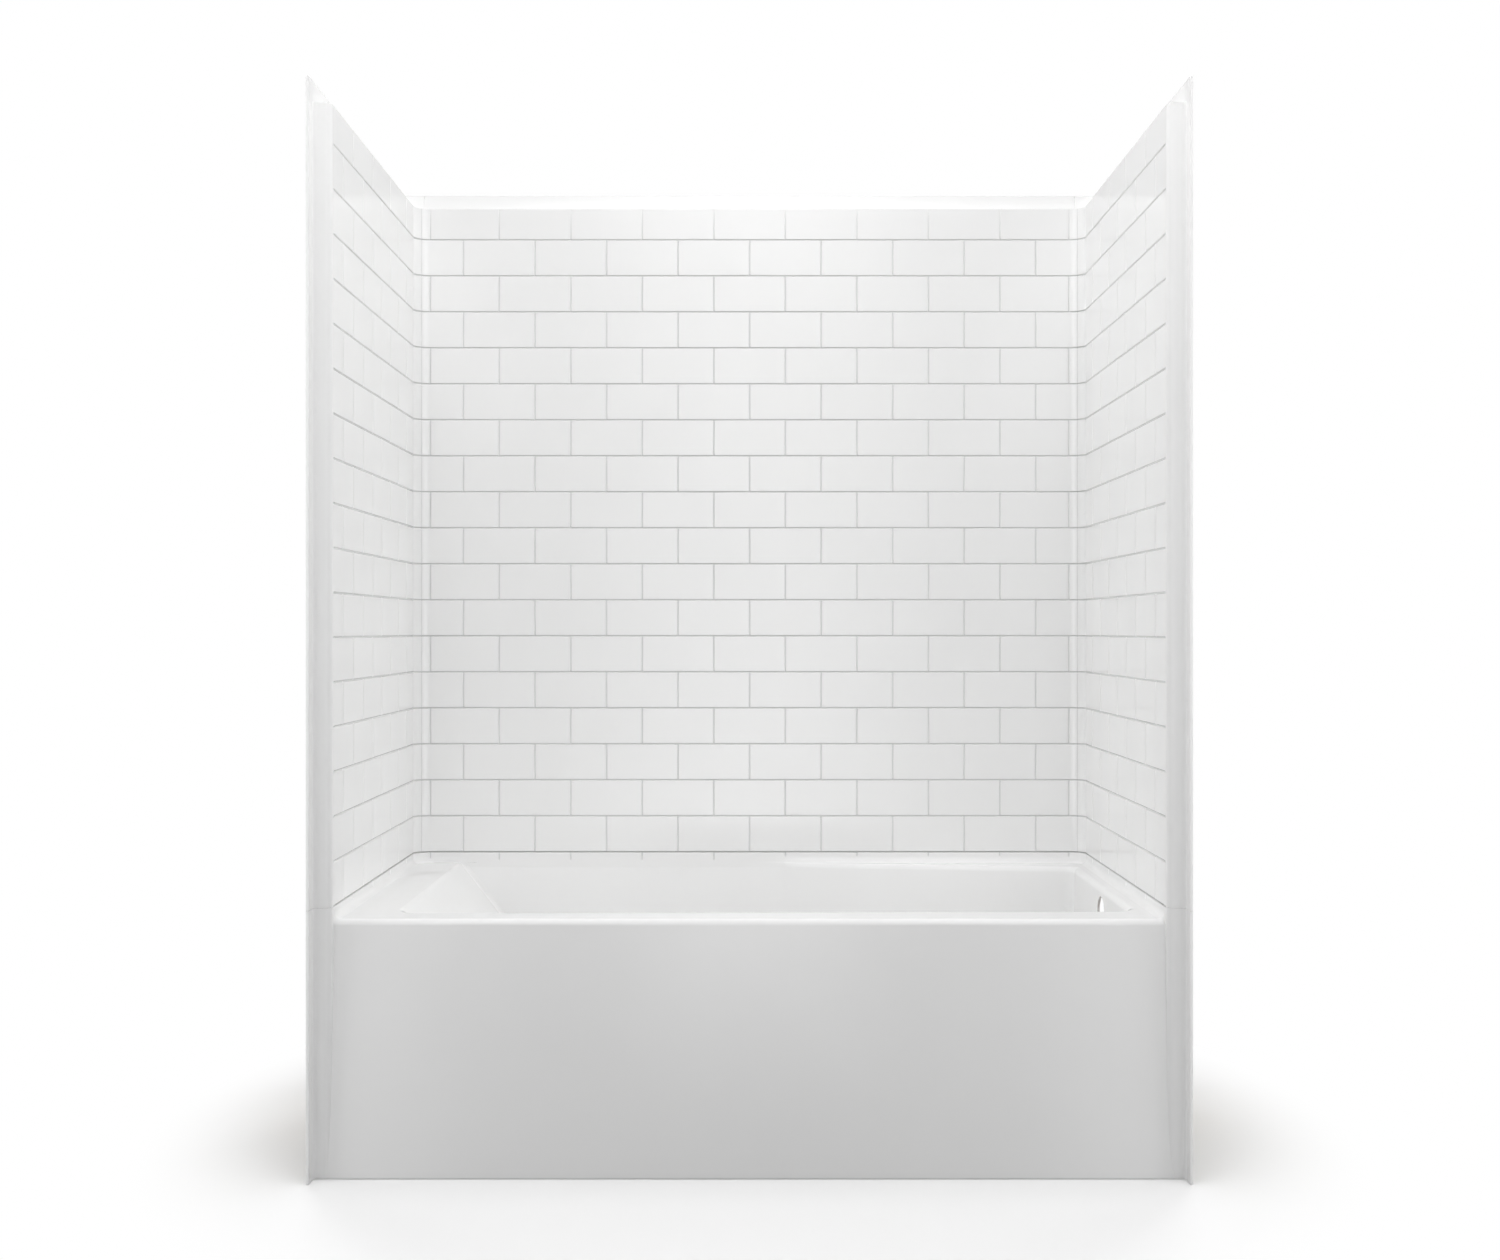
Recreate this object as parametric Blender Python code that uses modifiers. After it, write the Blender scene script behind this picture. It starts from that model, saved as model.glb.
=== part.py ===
"""Alcove tub and shower unit, built as a sectional assembly.

A bath moulding with its apron and column feet carries three wall mouldings in a tile pattern. Foam seals
close the joints between them, screws hold the joints, and timber bonded behind the mouldings stiffens them.

Metres, +Z up. The origin is the middle of the footprint on the floor. +X is the drain end and +Y the back.
"""

import math

import bmesh
import bpy
from mathutils import Vector

# Whole unit
WIDTH = 1.524
DEPTH = 0.7938
HEIGHT = 1.905
SHEET = 0.005
FIT = 0.0003
OVERRUN = 0.004
WELD = 0.00001

# Flanges, columns and corners of the walls
STANDOFF = 0.0308
TOP_FLANGE = 0.0365
FRONT_FLANGE = 0.0296
ROOT_FILLET = 0.007
COLUMN_ROUND = 0.012
REAR_ROUND = 0.029
SEAM_TURN = math.radians(33)

# Tile pattern
COURSE = 0.07832
TILE = 0.1557
GROOVE_WIDTH = 0.004
GROOVE_DEPTH = 0.0018
UPRIGHT_DEPTH_SHARE = 0.83
FIELD_SETBACK = 0.0184
FIRST_SIDE_UPRIGHT = 0.0677
CORNER_UPRIGHT_INSET = 0.0024

# Deck, rim and apron of the bath
DECK_HEIGHT = 0.4467
UPSTAND = 0.023
COVE = 0.012
RIM_ROUND = 0.011
APRON_TOP_SETBACK = 0.0204
APRON_FOOT_SETBACK = 0.0006
APRON_FOOT_HEIGHT = 0.008

# Bathing well
LEFT_DECK = 0.1008
RIGHT_DECK = 0.0362
FRONT_DECK_LEFT = 0.060
FRONT_DECK_RIGHT = 0.081
REAR_DECK = 0.072
REAR_DECK_START = 0.055
REAR_DECK_POWER = 1.25
WELL_ROLL = 0.012
BACKREST_ANGLE = math.radians(52)
FRONT_ANGLE = math.radians(84)
REAR_ANGLE = math.radians(86)
DRAIN_END_ANGLE = math.radians(88)
BACKREST_FILLET = 0.120
FLOOR_FILLET = 0.050
FLOOR_HEIGHT = 0.080
FLOOR_FALL = 1 / 96
FRONT_CORNER = 0.045
DRAIN_CORNER = 0.018
BACKREST_CORNER = 0.008
FLOOR_CORNER = 0.070
CORNER_GROWTH_POWER = 3

# Drain and overflow
DRAIN_SETBACK = 0.165
DRAIN_FROM_FRONT = 0.405
DRAIN_RECESS_RADIUS = 0.043
DRAIN_RECESS_DEPTH = 0.004
DRAIN_RADIUS = 0.026
OVERFLOW_RADIUS = 0.0305
OVERFLOW_DROP = 0.048

# Joints between the mouldings
CHANNEL_INSET = 0.005
CHANNEL_WIDTH = 0.012
CHANNEL_DEPTH = 0.002
JOINT_START = 0.075
SCREW_INSET = 0.023
SCREW_RADIUS = 0.0024
SCREW_LENGTH = 0.032
CORNER_SCREW_LENGTH = 0.017
SCREW_HEAD_RADIUS = 0.0048
SCREW_HEAD_HEIGHT = 0.003
SCREW_SIDES = 12
BACK_SCREW_SPACING = 0.400
SIDE_SCREW_SPACING = 0.420
CORNER_SCREW_END = 0.13932
BACK_SCREWS = 4
SIDE_SCREWS = 2
CORNER_SCREWS = 3
HEAD_CROWN_SHARE = 0.55

# Timber
BATTEN_WIDTH = 0.060
BATTEN_END_GAP = 0.018
LEDGE_BATTEN_HEIGHT = 0.060
LEG_WIDTH = 0.070
BOARD = 0.012
RAIL_DEPTH = 0.038
RAIL_HEIGHT = 0.060
RAIL_SETBACK = 0.0006
STIFFENER_WIDTH = 0.060
STIFFENER_DEPTH = 0.018
STIFFENER_SPACING = 0.460
RIM_BATTEN_DEPTH = 0.034
RIM_BATTEN_HEIGHT = 0.022
RIM_BATTEN_SETBACK = 0.008
BEARER_WIDTH = 0.045
BEARER_INSET = 0.068
FLOOR_BOARD_WIDTH = 0.330
FLOOR_BOARD_CLEARANCE = 0.030
BACKREST_BOARD_WIDTH = 0.320
BACKREST_BOARD_LENGTH = 0.240
GRAB_BOARD_HEIGHT = 0.150
GRAB_BOARD_RISE = 0.4303
VALVE_BOARD_WIDTH = 0.300
VALVE_BOARD_HEIGHT = 0.460
VALVE_BOARD_SHARE = 0.451
LOW_BATTEN_RISE = 0.1403
MIDDLE_BATTEN_GAP = 0.030
HIGH_BATTEN_DROP = 0.1385

# Facets
SHARP_FROM = math.radians(35)
OVERFLOW_SIDES = 32
FRONT_STEPS = 8
END_STEPS = 4
REAR_STEPS = 14
BACK_ARC_STEPS = 2
SIDE_ARC_STEPS = 3
CORNER_STEPS = BACK_ARC_STEPS + SIDE_ARC_STEPS + 2
RIM_CORNER_STEPS = 4
COVE_STEPS = 3
RIM_STEPS = 4
COLUMN_STEPS = 4
ROOT_STEPS = 2
APRON_ROW_SHARES = (0.6, 0.4, 0.25, 0.12, 0.05)
GROWING_COVE_SHARES = (0.5, 0.8)
ROLL_TURNS = tuple(math.radians(turn) for turn in (0, 30, 60, 88))
FILLET_TURNS = tuple(math.radians(turn) for turn in (86, 62, 40, 20, 0))

# Colours and finishes
WHITE = (0.86, 0.86, 0.85)
FOAM_GREY = (0.30, 0.30, 0.31)
SOFTWOOD = (0.62, 0.46, 0.28)
ZINC = (0.72, 0.72, 0.70)
GLOSS_ROUGHNESS = 0.12
ZINC_ROUGHNESS = 0.35
MATT_ROUGHNESS = 0.85

# Places that follow from the sizes
SEAM_HEIGHT = DECK_HEIGHT + UPSTAND
FRONT = -DEPTH / 2
SIDE_FACE = WIDTH / 2 - SHEET - STANDOFF
BACK_FACE = DEPTH / 2 - SHEET - STANDOFF
FLANGE_X = WIDTH / 2 - SHEET
FLANGE_Y = DEPTH / 2 - SHEET
TILE_TOP = HEIGHT - TOP_FLANGE
COLUMN_FRONT = FRONT + FRONT_FLANGE
FIELD_FRONT = COLUMN_FRONT + FIELD_SETBACK
RIM_BACK = COLUMN_FRONT + APRON_TOP_SETBACK + RIM_ROUND
WELL_DEPTH = DECK_HEIGHT - FLOOR_HEIGHT
WELL_LEFT = -SIDE_FACE + LEFT_DECK
WELL_RIGHT = SIDE_FACE - RIGHT_DECK
DRAIN_X = WELL_RIGHT - DRAIN_SETBACK
DRAIN_Y = FRONT + DRAIN_FROM_FRONT
SEAM_X = SIDE_FACE - REAR_ROUND * (1 - math.sin(SEAM_TURN))
SEAM_Y = BACK_FACE - REAR_ROUND * (1 - math.cos(SEAM_TURN))
TUB_TOP = SEAM_HEIGHT - FIT / 2
WALL_FOOT = SEAM_HEIGHT + FIT / 2
APRON_HEIGHT = DECK_HEIGHT - RIM_ROUND
APRON_LEAN = math.atan((APRON_TOP_SETBACK - APRON_FOOT_SETBACK) / (APRON_HEIGHT - APRON_FOOT_HEIGHT))
BATHER = Vector((0, 0, (SEAM_HEIGHT + TILE_TOP) / 2))
SIDE_BACKING = SIDE_FACE + SHEET + FIT
BACK_BACKING = BACK_FACE + SHEET + FIT


def between(start, end, share):
    """The value at a share of the way from start to end."""
    return start + (end - start) * share


def spread(start, end, steps):
    """The steps + 1 values from start to end, both included."""
    return [between(start, end, step / steps) for step in range(steps + 1)]


# Collections and materials


def new_collection(name):
    made = bpy.data.collections.new(name)
    bpy.context.scene.collection.children.link(made)
    return made


def new_material(name, colour, roughness, metallic=0.0):
    made = bpy.data.materials.new(name)
    made.use_nodes = True
    shader = made.node_tree.nodes["Principled BSDF"]
    shader.inputs["Base Color"].default_value = (*colour, 1)
    shader.inputs["Roughness"].default_value = roughness
    shader.inputs["Metallic"].default_value = metallic
    made.diffuse_color = (*colour, 1)
    return made


def add_object(name, mesh_source, place):
    """A new object from a bmesh, in the place's collection and material."""
    mesh = bpy.data.meshes.new(name)
    mesh_source.to_mesh(mesh)
    mesh_source.free()
    made = bpy.data.objects.new(name, mesh)
    place.collection.objects.link(made)
    if place.material:
        mesh.materials.append(place.material)
    return made


class Place:
    """The collection that new objects join, and the material they take."""

    def __init__(self, collection, material=None):
        self.collection = collection
        self.material = material


# Sheets, boxes and cutters


def add_patch(mesh, rows):
    """Quads between neighbouring rows of points. Points that coincide are merged later."""
    grid = [[mesh.verts.new(point) for point in row] for row in rows]
    for low, high in zip(grid, grid[1:]):
        for first, second, third, fourth in zip(low, low[1:], high[1:], high):
            mesh.faces.new((first, second, third, fourth))


def sheet(name, patches, inside, place):
    """A moulded sheet: its seen face is the patches, and its thickness lies away from the point inside."""
    mesh = bmesh.new()
    for rows in patches:
        add_patch(mesh, rows)
    bmesh.ops.remove_doubles(mesh, verts=mesh.verts, dist=WELD)
    bmesh.ops.dissolve_degenerate(mesh, edges=mesh.edges, dist=WELD)
    bmesh.ops.recalc_face_normals(mesh, faces=mesh.faces)
    facing = sum(
        face.calc_area() * face.normal.dot((inside - face.calc_center_median()).normalized())
        for face in mesh.faces
    )
    if facing < 0:
        bmesh.ops.reverse_faces(mesh, faces=mesh.faces)
    made = add_object(name, mesh, place)
    solid = made.modifiers.new("Sheet thickness", "SOLIDIFY")
    solid.thickness = SHEET
    solid.offset = -1
    solid.use_even_offset = True
    solid.use_quality_normals = True
    return made


def box(name, low, high, place):
    """A box between two corners, with its origin at its middle."""
    low, high = Vector(low), Vector(high)
    mesh = bmesh.new()
    bmesh.ops.create_cube(mesh, size=1)
    bmesh.ops.scale(mesh, vec=high - low, verts=mesh.verts)
    made = add_object(name, mesh, place)
    made.location = (low + high) / 2
    return made


def prism(name, outline, start, end, place):
    """A closed prism: outline gives its corners at the start and at the end, in the same order."""
    mesh = bmesh.new()
    first = [mesh.verts.new(outline(start, corner)) for corner in range(3)]
    last = [mesh.verts.new(outline(end, corner)) for corner in range(3)]
    mesh.faces.new(first)
    mesh.faces.new(last)
    for corner in range(3):
        following = (corner + 1) % 3
        mesh.faces.new((first[corner], first[following], last[following], last[corner]))
    bmesh.ops.recalc_face_normals(mesh, faces=mesh.faces)
    return add_object(name, mesh, place)


def cylinder(name, radius, length, middle, axis, sides, place):
    mesh = bmesh.new()
    bmesh.ops.create_cone(
        mesh, cap_ends=True, segments=sides, radius1=radius, radius2=radius, depth=length
    )
    made = add_object(name, mesh, place)
    made.location = middle
    made.rotation_euler = Vector(axis).to_track_quat("Z", "Y").to_euler()
    return made


def cutter_collection(name):
    """A collection for one piece's cutters, inside the cutters' own."""
    made = bpy.data.collections.new(name)
    bpy.data.collections["cutters"].children.link(made)
    made.hide_render = True
    return made


def cut(target, cutters):
    """Cuts every object of the cutters' collection from the target."""
    for cutter in cutters.objects:
        cutter.hide_render = True
        cutter.display_type = "WIRE"
    boolean = target.modifiers.new("Cuts", "BOOLEAN")
    boolean.operation = "DIFFERENCE"
    boolean.solver = "EXACT"
    boolean.operand_type = "COLLECTION"
    boolean.collection = cutters


# Outlines shared by the bath and the walls


def arc_turns():
    """Turns round a rear corner, from the back wall at 0 to the side wall, with the seam among them."""
    back = spread(0.0, SEAM_TURN, BACK_ARC_STEPS)
    side = spread(SEAM_TURN, math.pi / 2, SIDE_ARC_STEPS)
    return back + side[1:]


def arc_direction(turn, side):
    return Vector((side * math.sin(turn), math.cos(turn)))


def arc_centre(side):
    return Vector((side * (SIDE_FACE - REAR_ROUND), BACK_FACE - REAR_ROUND))


def to_flange(point, direction):
    """Where a line from the point meets the plane of the side flange or of the back flange."""
    reach = []
    if abs(direction.x) > FIT:
        reach.append((FLANGE_X - abs(point.x)) / abs(direction.x))
    if direction.y > FIT:
        reach.append((FLANGE_Y - point.y) / direction.y)
    return point + direction * min(reach)


def column_arc(turn, side):
    """A point on the column's front corner, from its front face at 0 to its side face."""
    return Vector(
        (
            side * (SIDE_FACE + COLUMN_ROUND * (1 - math.sin(turn))),
            COLUMN_FRONT + COLUMN_ROUND * (1 - math.cos(turn)),
        )
    )


def column_path(start, side):
    """The plan of a column from a place on its side face, round its front, to the flange's front edge."""
    reach = (start - COLUMN_FRONT) / COLUMN_ROUND
    if reach >= 1:
        points = [Vector((side * SIDE_FACE, start))]
        turns = spread(math.pi / 2, 0.0, COLUMN_STEPS)
    else:
        points = []
        turns = spread(math.acos(1 - reach), 0.0, COLUMN_STEPS + 1)
    points += [column_arc(turn, side) for turn in turns]
    for turn in spread(0.0, math.pi / 2, ROOT_STEPS):
        points.append(
            Vector(
                (
                    side * (FLANGE_X - ROOT_FILLET * (1 - math.sin(turn))),
                    COLUMN_FRONT - ROOT_FILLET * (1 - math.cos(turn)),
                )
            )
        )
    points.append(Vector((side * FLANGE_X, FRONT)))
    return points


# The bath moulding


def wall_inset(drop, angle, fillet, roll=WELL_ROLL):
    """How far a wall of the well stands in from its upper edge at a depth below the deck."""
    roll_drop = WELL_ROLL * (1 - math.cos(angle))
    if drop < roll_drop:
        turn = math.acos(1 - drop / WELL_ROLL)
        return roll * (math.sin(turn) - math.sin(angle))
    rise = WELL_DEPTH - drop
    fillet_rise = fillet * (1 - math.cos(angle))
    if rise >= fillet_rise:
        return (drop - roll_drop) / math.tan(angle)
    foot = (WELL_DEPTH - fillet_rise - roll_drop) / math.tan(angle)
    turn = math.acos(min(1, 1 - rise / fillet))
    return foot + fillet * (math.sin(angle) - math.sin(turn))


def rear_deck_at(x):
    """Width of the rear deck, which opens from nothing part way along and widens to the drain end."""
    share = (x - REAR_DECK_START) / (WELL_RIGHT - REAR_DECK_START)
    share = min(1, max(0, share))
    return REAR_DECK * (1 - (1 - share) ** REAR_DECK_POWER)


def well_front(x, drop):
    share = (x - WELL_LEFT) / (WELL_RIGHT - WELL_LEFT)
    edge = RIM_BACK + between(FRONT_DECK_LEFT, FRONT_DECK_RIGHT, share)
    return edge + wall_inset(drop, FRONT_ANGLE, FLOOR_FILLET)


def well_rear(x, drop):
    width = rear_deck_at(x)
    roll = min(WELL_ROLL, width / 2)
    return BACK_FACE - width - wall_inset(drop, REAR_ANGLE, FLOOR_FILLET, roll)


def floor_lift(x, drop):
    """The well's lower parts rise from the drain towards the backrest, and lie level at the drain end."""
    reach = max(0, DRAIN_X - DRAIN_RECESS_RADIUS - x)
    return FLOOR_FALL * reach * drop / WELL_DEPTH


def floor_top(x):
    return FLOOR_HEIGHT + floor_lift(x, WELL_DEPTH)


def well_ring(drop):
    """The well's outline at a depth below the deck, anticlockwise from the front's left end."""
    left = WELL_LEFT + wall_inset(drop, BACKREST_ANGLE, BACKREST_FILLET)
    right = WELL_RIGHT - wall_inset(drop, DRAIN_END_ANGLE, FLOOR_FILLET)
    grown = (drop / WELL_DEPTH) ** CORNER_GROWTH_POWER
    front_corner = between(FRONT_CORNER, FLOOR_CORNER, grown)
    drain_corner = between(DRAIN_CORNER, FLOOR_CORNER, grown)
    back_corner = between(BACKREST_CORNER * min(1, drop / WELL_ROLL), FLOOR_CORNER, grown)
    points = []

    def add(x, y):
        points.append((x, y, DECK_HEIGHT - drop + floor_lift(x, drop)))

    for x in spread(left + front_corner, right - front_corner, FRONT_STEPS)[:-1]:
        add(x, well_front(x, drop))
    for turn in spread(0.0, math.pi / 2, CORNER_STEPS)[:-1]:
        x = right - front_corner * (1 - math.sin(turn))
        add(x, well_front(x, drop) + front_corner * (1 - math.cos(turn)))
    low = well_front(right, drop) + front_corner
    high = well_rear(right, drop) - drain_corner
    for y in spread(low, high, END_STEPS)[:-1]:
        add(right, y)
    for turn in spread(0.0, math.pi / 2, CORNER_STEPS)[:-1]:
        x = right - drain_corner * (1 - math.cos(turn))
        add(x, well_rear(x, drop) - drain_corner * (1 - math.sin(turn)))
    for x in rear_stations(left + back_corner, right - drain_corner)[:-1]:
        add(x, well_rear(x, drop))
    for turn in spread(0.0, math.pi / 2, CORNER_STEPS)[:-1]:
        x = left + back_corner * (1 - math.sin(turn))
        add(x, well_rear(x, drop) - back_corner * (1 - math.cos(turn)))
    high = well_rear(left, drop) - back_corner
    low = well_front(left, drop) + front_corner
    for y in spread(high, low, END_STEPS)[:-1]:
        add(left, y)
    for turn in spread(0.0, math.pi / 2, CORNER_STEPS)[:-1]:
        x = left + front_corner * (1 - math.cos(turn))
        add(x, well_front(x, drop) + front_corner * (1 - math.sin(turn)))
    return points


def rear_stations(left, right):
    """Places along the well's rear edge from right to left, with one where the rear deck starts."""
    opened = spread(right, REAR_DECK_START, REAR_STEPS // 2)
    flush = spread(REAR_DECK_START, left, REAR_STEPS - REAR_STEPS // 2)
    return opened + flush[1:]


class Station:
    """A place on the wall's foot round the deck: a point on the face, the way in, and the cove's reach."""

    def __init__(self, x, y, inward, cove=COVE):
        self.face = Vector((x, y))
        self.inward = inward
        self.cove = cove

    def at(self, inset, height):
        point = self.face + self.inward * inset
        return (point.x, point.y, height)

    def flange_point(self, height):
        point = to_flange(self.face, -self.inward)
        return (point.x, point.y, height)


def corner_stations(side, cove_shares=(1, 1)):
    """Stations round a rear corner, from the back wall to the side wall. The first coves may be smaller."""
    made = []
    for index, turn in enumerate(arc_turns()):
        outward = arc_direction(turn, side)
        point = arc_centre(side) + outward * REAR_ROUND
        share = cove_shares[index] if index < len(cove_shares) else 1
        made.append(Station(point.x, point.y, -outward, COVE * share))
    return made


def wall_stations():
    """Stations from the rim's right end, round the right, back and left walls, to the rim's left end."""
    ring_top = well_ring(0.0)
    right, left = Vector((-1, 0)), Vector((1, 0))
    front_high = well_front(WELL_RIGHT, 0.0) + FRONT_CORNER
    drain_high = well_rear(WELL_RIGHT, 0.0) - DRAIN_CORNER
    made = []
    for y in spread(RIM_BACK, front_high, CORNER_STEPS - RIM_CORNER_STEPS)[:-1]:
        made.append(Station(SIDE_FACE, y, right))
    for y in spread(front_high, drain_high, END_STEPS):
        made.append(Station(SIDE_FACE, y, right))
    made += reversed(corner_stations(1))
    first_rear = FRONT_STEPS + 2 * CORNER_STEPS + END_STEPS
    for x, _, _ in ring_top[first_rear : first_rear + REAR_STEPS + 1]:
        cove = min(COVE, rear_deck_at(x) / 2)
        made.append(Station(x, BACK_FACE, Vector((0, -1)), cove))
    made += corner_stations(-1, GROWING_COVE_SHARES)
    left_high = BACK_FACE - 2 * REAR_ROUND
    front_high = well_front(WELL_LEFT, 0.0) + FRONT_CORNER
    for y in spread(left_high, front_high, END_STEPS):
        made.append(Station(-SIDE_FACE, y, left))
    for y in spread(front_high, RIM_BACK, CORNER_STEPS - RIM_CORNER_STEPS)[1:]:
        made.append(Station(-SIDE_FACE, y, left))
    return made


def rim_stations():
    """Places along the rim's back line from the left end to the right end."""
    end = SIDE_FACE - COVE
    left_foot = WELL_LEFT + FRONT_CORNER
    right_foot = WELL_RIGHT - FRONT_CORNER
    left = spread(-end, left_foot, RIM_CORNER_STEPS)
    middle = spread(left_foot, right_foot, FRONT_STEPS)
    right = spread(right_foot, end, RIM_CORNER_STEPS)
    return left + middle[1:] + right[1:]


def rim_row(step):
    """A row over the rim: its place, its height, the way out of the surface and the cove that is left."""
    turn = math.pi / 2 * step / RIM_STEPS
    out = Vector((-math.sin(turn), math.cos(turn)))
    centre = Vector((RIM_BACK, DECK_HEIGHT - RIM_ROUND))
    return centre + out * RIM_ROUND, out, COVE * (1 - step / RIM_STEPS)


def apron_places():
    """The apron's places and heights below the rim. It leans, but its foot stands upright."""
    heights = [APRON_HEIGHT * share for share in APRON_ROW_SHARES]
    places = []
    for height in (*heights, APRON_FOOT_HEIGHT, 0):
        setback = APRON_FOOT_SETBACK + max(0, height - APRON_FOOT_HEIGHT) * math.tan(APRON_LEAN)
        places.append(Vector((COLUMN_FRONT + setback, height)))
    return places


def rim_and_apron_rows(stations):
    """Rows of the front, from the rim's back line down to the floor."""
    rows = []
    inner = stations[1:-1]
    for step in range(RIM_STEPS + 1):
        place, _, cove = rim_row(step)
        line = [cove - SIDE_FACE, *inner, SIDE_FACE - cove]
        rows.append([(x, place.x, place.y) for x in line])
    for place in apron_places():
        end = column_path(place.x, 1)[0].x
        rows.append([(x, place.x, place.y) for x in (-end, *inner, end)])
    return rows


def cove_over_rim_rows(side):
    """The cove between deck and wall runs out over the rim."""
    rows = []
    for step in range(RIM_STEPS + 1):
        place, out, cove = rim_row(step)
        row = []
        for turn in spread(0.0, math.pi / 2, COVE_STEPS):
            point = place + out * cove * (1 - math.cos(turn))
            row.append((side * (SIDE_FACE - cove * (1 - math.sin(turn))), point.x, point.y))
        rows.append(row)
    return rows


def column_rows(side):
    """The column's foot beside the apron, from the joint with the wall down to the floor."""
    top = [(point.x, point.y, TUB_TOP) for point in column_path(RIM_BACK, side)]
    top[0] = (side * (SIDE_FACE + GROOVE_DEPTH), RIM_BACK, TUB_TOP)
    below = SEAM_HEIGHT - GROOVE_WIDTH / 2
    rows = [top, [(point.x, point.y, below) for point in column_path(RIM_BACK, side)]]
    for step in range(RIM_STEPS + 1):
        place, out, cove = rim_row(step)
        start = place + out * cove
        rows.append([(point.x, point.y, start.y) for point in column_path(start.x, side)])
    for start in apron_places():
        rows.append([(point.x, point.y, start.y) for point in column_path(start.x, side)])
    return rows


def upstand_rows(stations):
    """Rows up the wall's foot: the cove, the part course of tiles, half a groove and the joint flange."""
    rows = []
    for turn in spread(0.0, math.pi / 2, COVE_STEPS):
        height = DECK_HEIGHT + COVE * (1 - math.cos(turn))
        rows.append([here.at(here.cove * (1 - math.sin(turn)), height) for here in stations])
    rows.append([here.at(0.0, SEAM_HEIGHT - GROOVE_WIDTH / 2) for here in stations])
    rows.append([here.at(-GROOVE_DEPTH, TUB_TOP) for here in stations])
    rows.append([here.flange_point(TUB_TOP) for here in stations])
    return rows


def deck_outer_ring(stations, rims):
    """The deck's outer edge, in step with the well's rings."""
    corner = RIM_CORNER_STEPS
    front = [(x, RIM_BACK, DECK_HEIGHT) for x in rims[corner:]]
    walls = [here.at(here.cove, DECK_HEIGHT) for here in stations]
    left = [(x, RIM_BACK, DECK_HEIGHT) for x in rims[:corner]]
    return front + walls[1:] + left[1:]


def drain_rings(last):
    """Rings from the floor's edge to the drain hole, and how each lies below the floor."""
    count = len(last)
    first_turn = math.atan2(last[0][1] - DRAIN_Y, last[0][0] - DRAIN_X)
    turns = []
    for index, (x, y, _) in enumerate(last):
        even = first_turn + 2 * math.pi * index / count
        sight = math.atan2(y - DRAIN_Y, x - DRAIN_X)
        off = math.remainder(sight - even, 2 * math.pi)
        turns.append(even + off / 2)

    def circle(radius, drop):
        ring = []
        for turn in turns:
            x = DRAIN_X + radius * math.cos(turn)
            y = DRAIN_Y + radius * math.sin(turn)
            ring.append((x, y, FLOOR_HEIGHT - drop))
        return ring

    rim = circle(DRAIN_RECESS_RADIUS, 0.0)
    middle = []
    for outer, inner in zip(last, rim):
        x, y = ((a + b) / 2 for a, b in zip(outer[:2], inner[:2]))
        middle.append((x, y, floor_top(x)))
    shoulder = circle(DRAIN_RECESS_RADIUS - DRAIN_RECESS_DEPTH, DRAIN_RECESS_DEPTH)
    hole = circle(DRAIN_RADIUS, DRAIN_RECESS_DEPTH)
    return [middle, rim, shoulder, hole]


def well_drops():
    """Depths of the well's rings: over the rolled edge, then round the floor's fillet."""
    rolled = [WELL_ROLL * (1 - math.cos(turn)) for turn in ROLL_TURNS]
    filleted = [WELL_DEPTH - FLOOR_FILLET * (1 - math.cos(turn)) for turn in FILLET_TURNS]
    return rolled + filleted


def upright_positions(odd):
    """Places of the upright grooves on the back wall, left to right."""
    if odd:
        reach = int((SIDE_FACE - REAR_ROUND) / TILE + 0.5)
        near = [TILE * (step + 0.5) for step in range(reach)]
        near.append(SIDE_FACE - REAR_ROUND - CORNER_UPRIGHT_INSET)
    else:
        reach = int((SIDE_FACE - REAR_ROUND) / TILE)
        near = [TILE * step for step in range(1, reach + 1)]
    middle = [] if odd else [0.0]
    return [-x for x in reversed(near)] + middle + near


def side_positions(odd):
    """Places of the upright grooves on a side wall, front to back."""
    first = FIELD_FRONT + FIRST_SIDE_UPRIGHT + (TILE / 2 if odd else 0)
    count = int((BACK_FACE - REAR_ROUND - first) / TILE) + 1
    return [first + TILE * step for step in range(count)]


def groove_corner(face, inward, depth, corner):
    """A corner of a groove cutter's triangle: its point below the face, or its base in front of it."""
    if corner == 0:
        return face - inward * depth, 0.0
    half = GROOVE_WIDTH / 2 * (depth + OVERRUN) / depth
    return face + inward * OVERRUN, half if corner == 1 else -half


def upright_cutter(name, face, inward, low, high, place):
    """A groove that stands between two heights."""
    depth = GROOVE_DEPTH * UPRIGHT_DEPTH_SHARE
    along = Vector((-inward.y, inward.x))

    def outline(height, corner):
        point, aside = groove_corner(face, inward, depth, corner)
        point = point + along * aside
        return (point.x, point.y, height)

    return prism(name, outline, low, high, place)


def tick_cutters(cutters):
    """The part course's upright grooves, which run out above the cove."""
    place = Place(cutters)
    low = DECK_HEIGHT + COVE
    high = SEAM_HEIGHT + OVERRUN
    for x in upright_positions(odd=True):
        face = Vector((x, BACK_FACE))
        upright_cutter("tick_back", face, Vector((0, -1)), low, high, place)
    for side in (-1, 1):
        for y in side_positions(odd=True):
            face = Vector((side * SIDE_FACE, y))
            upright_cutter("tick_side", face, Vector((-side, 0)), low, high, place)


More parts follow.
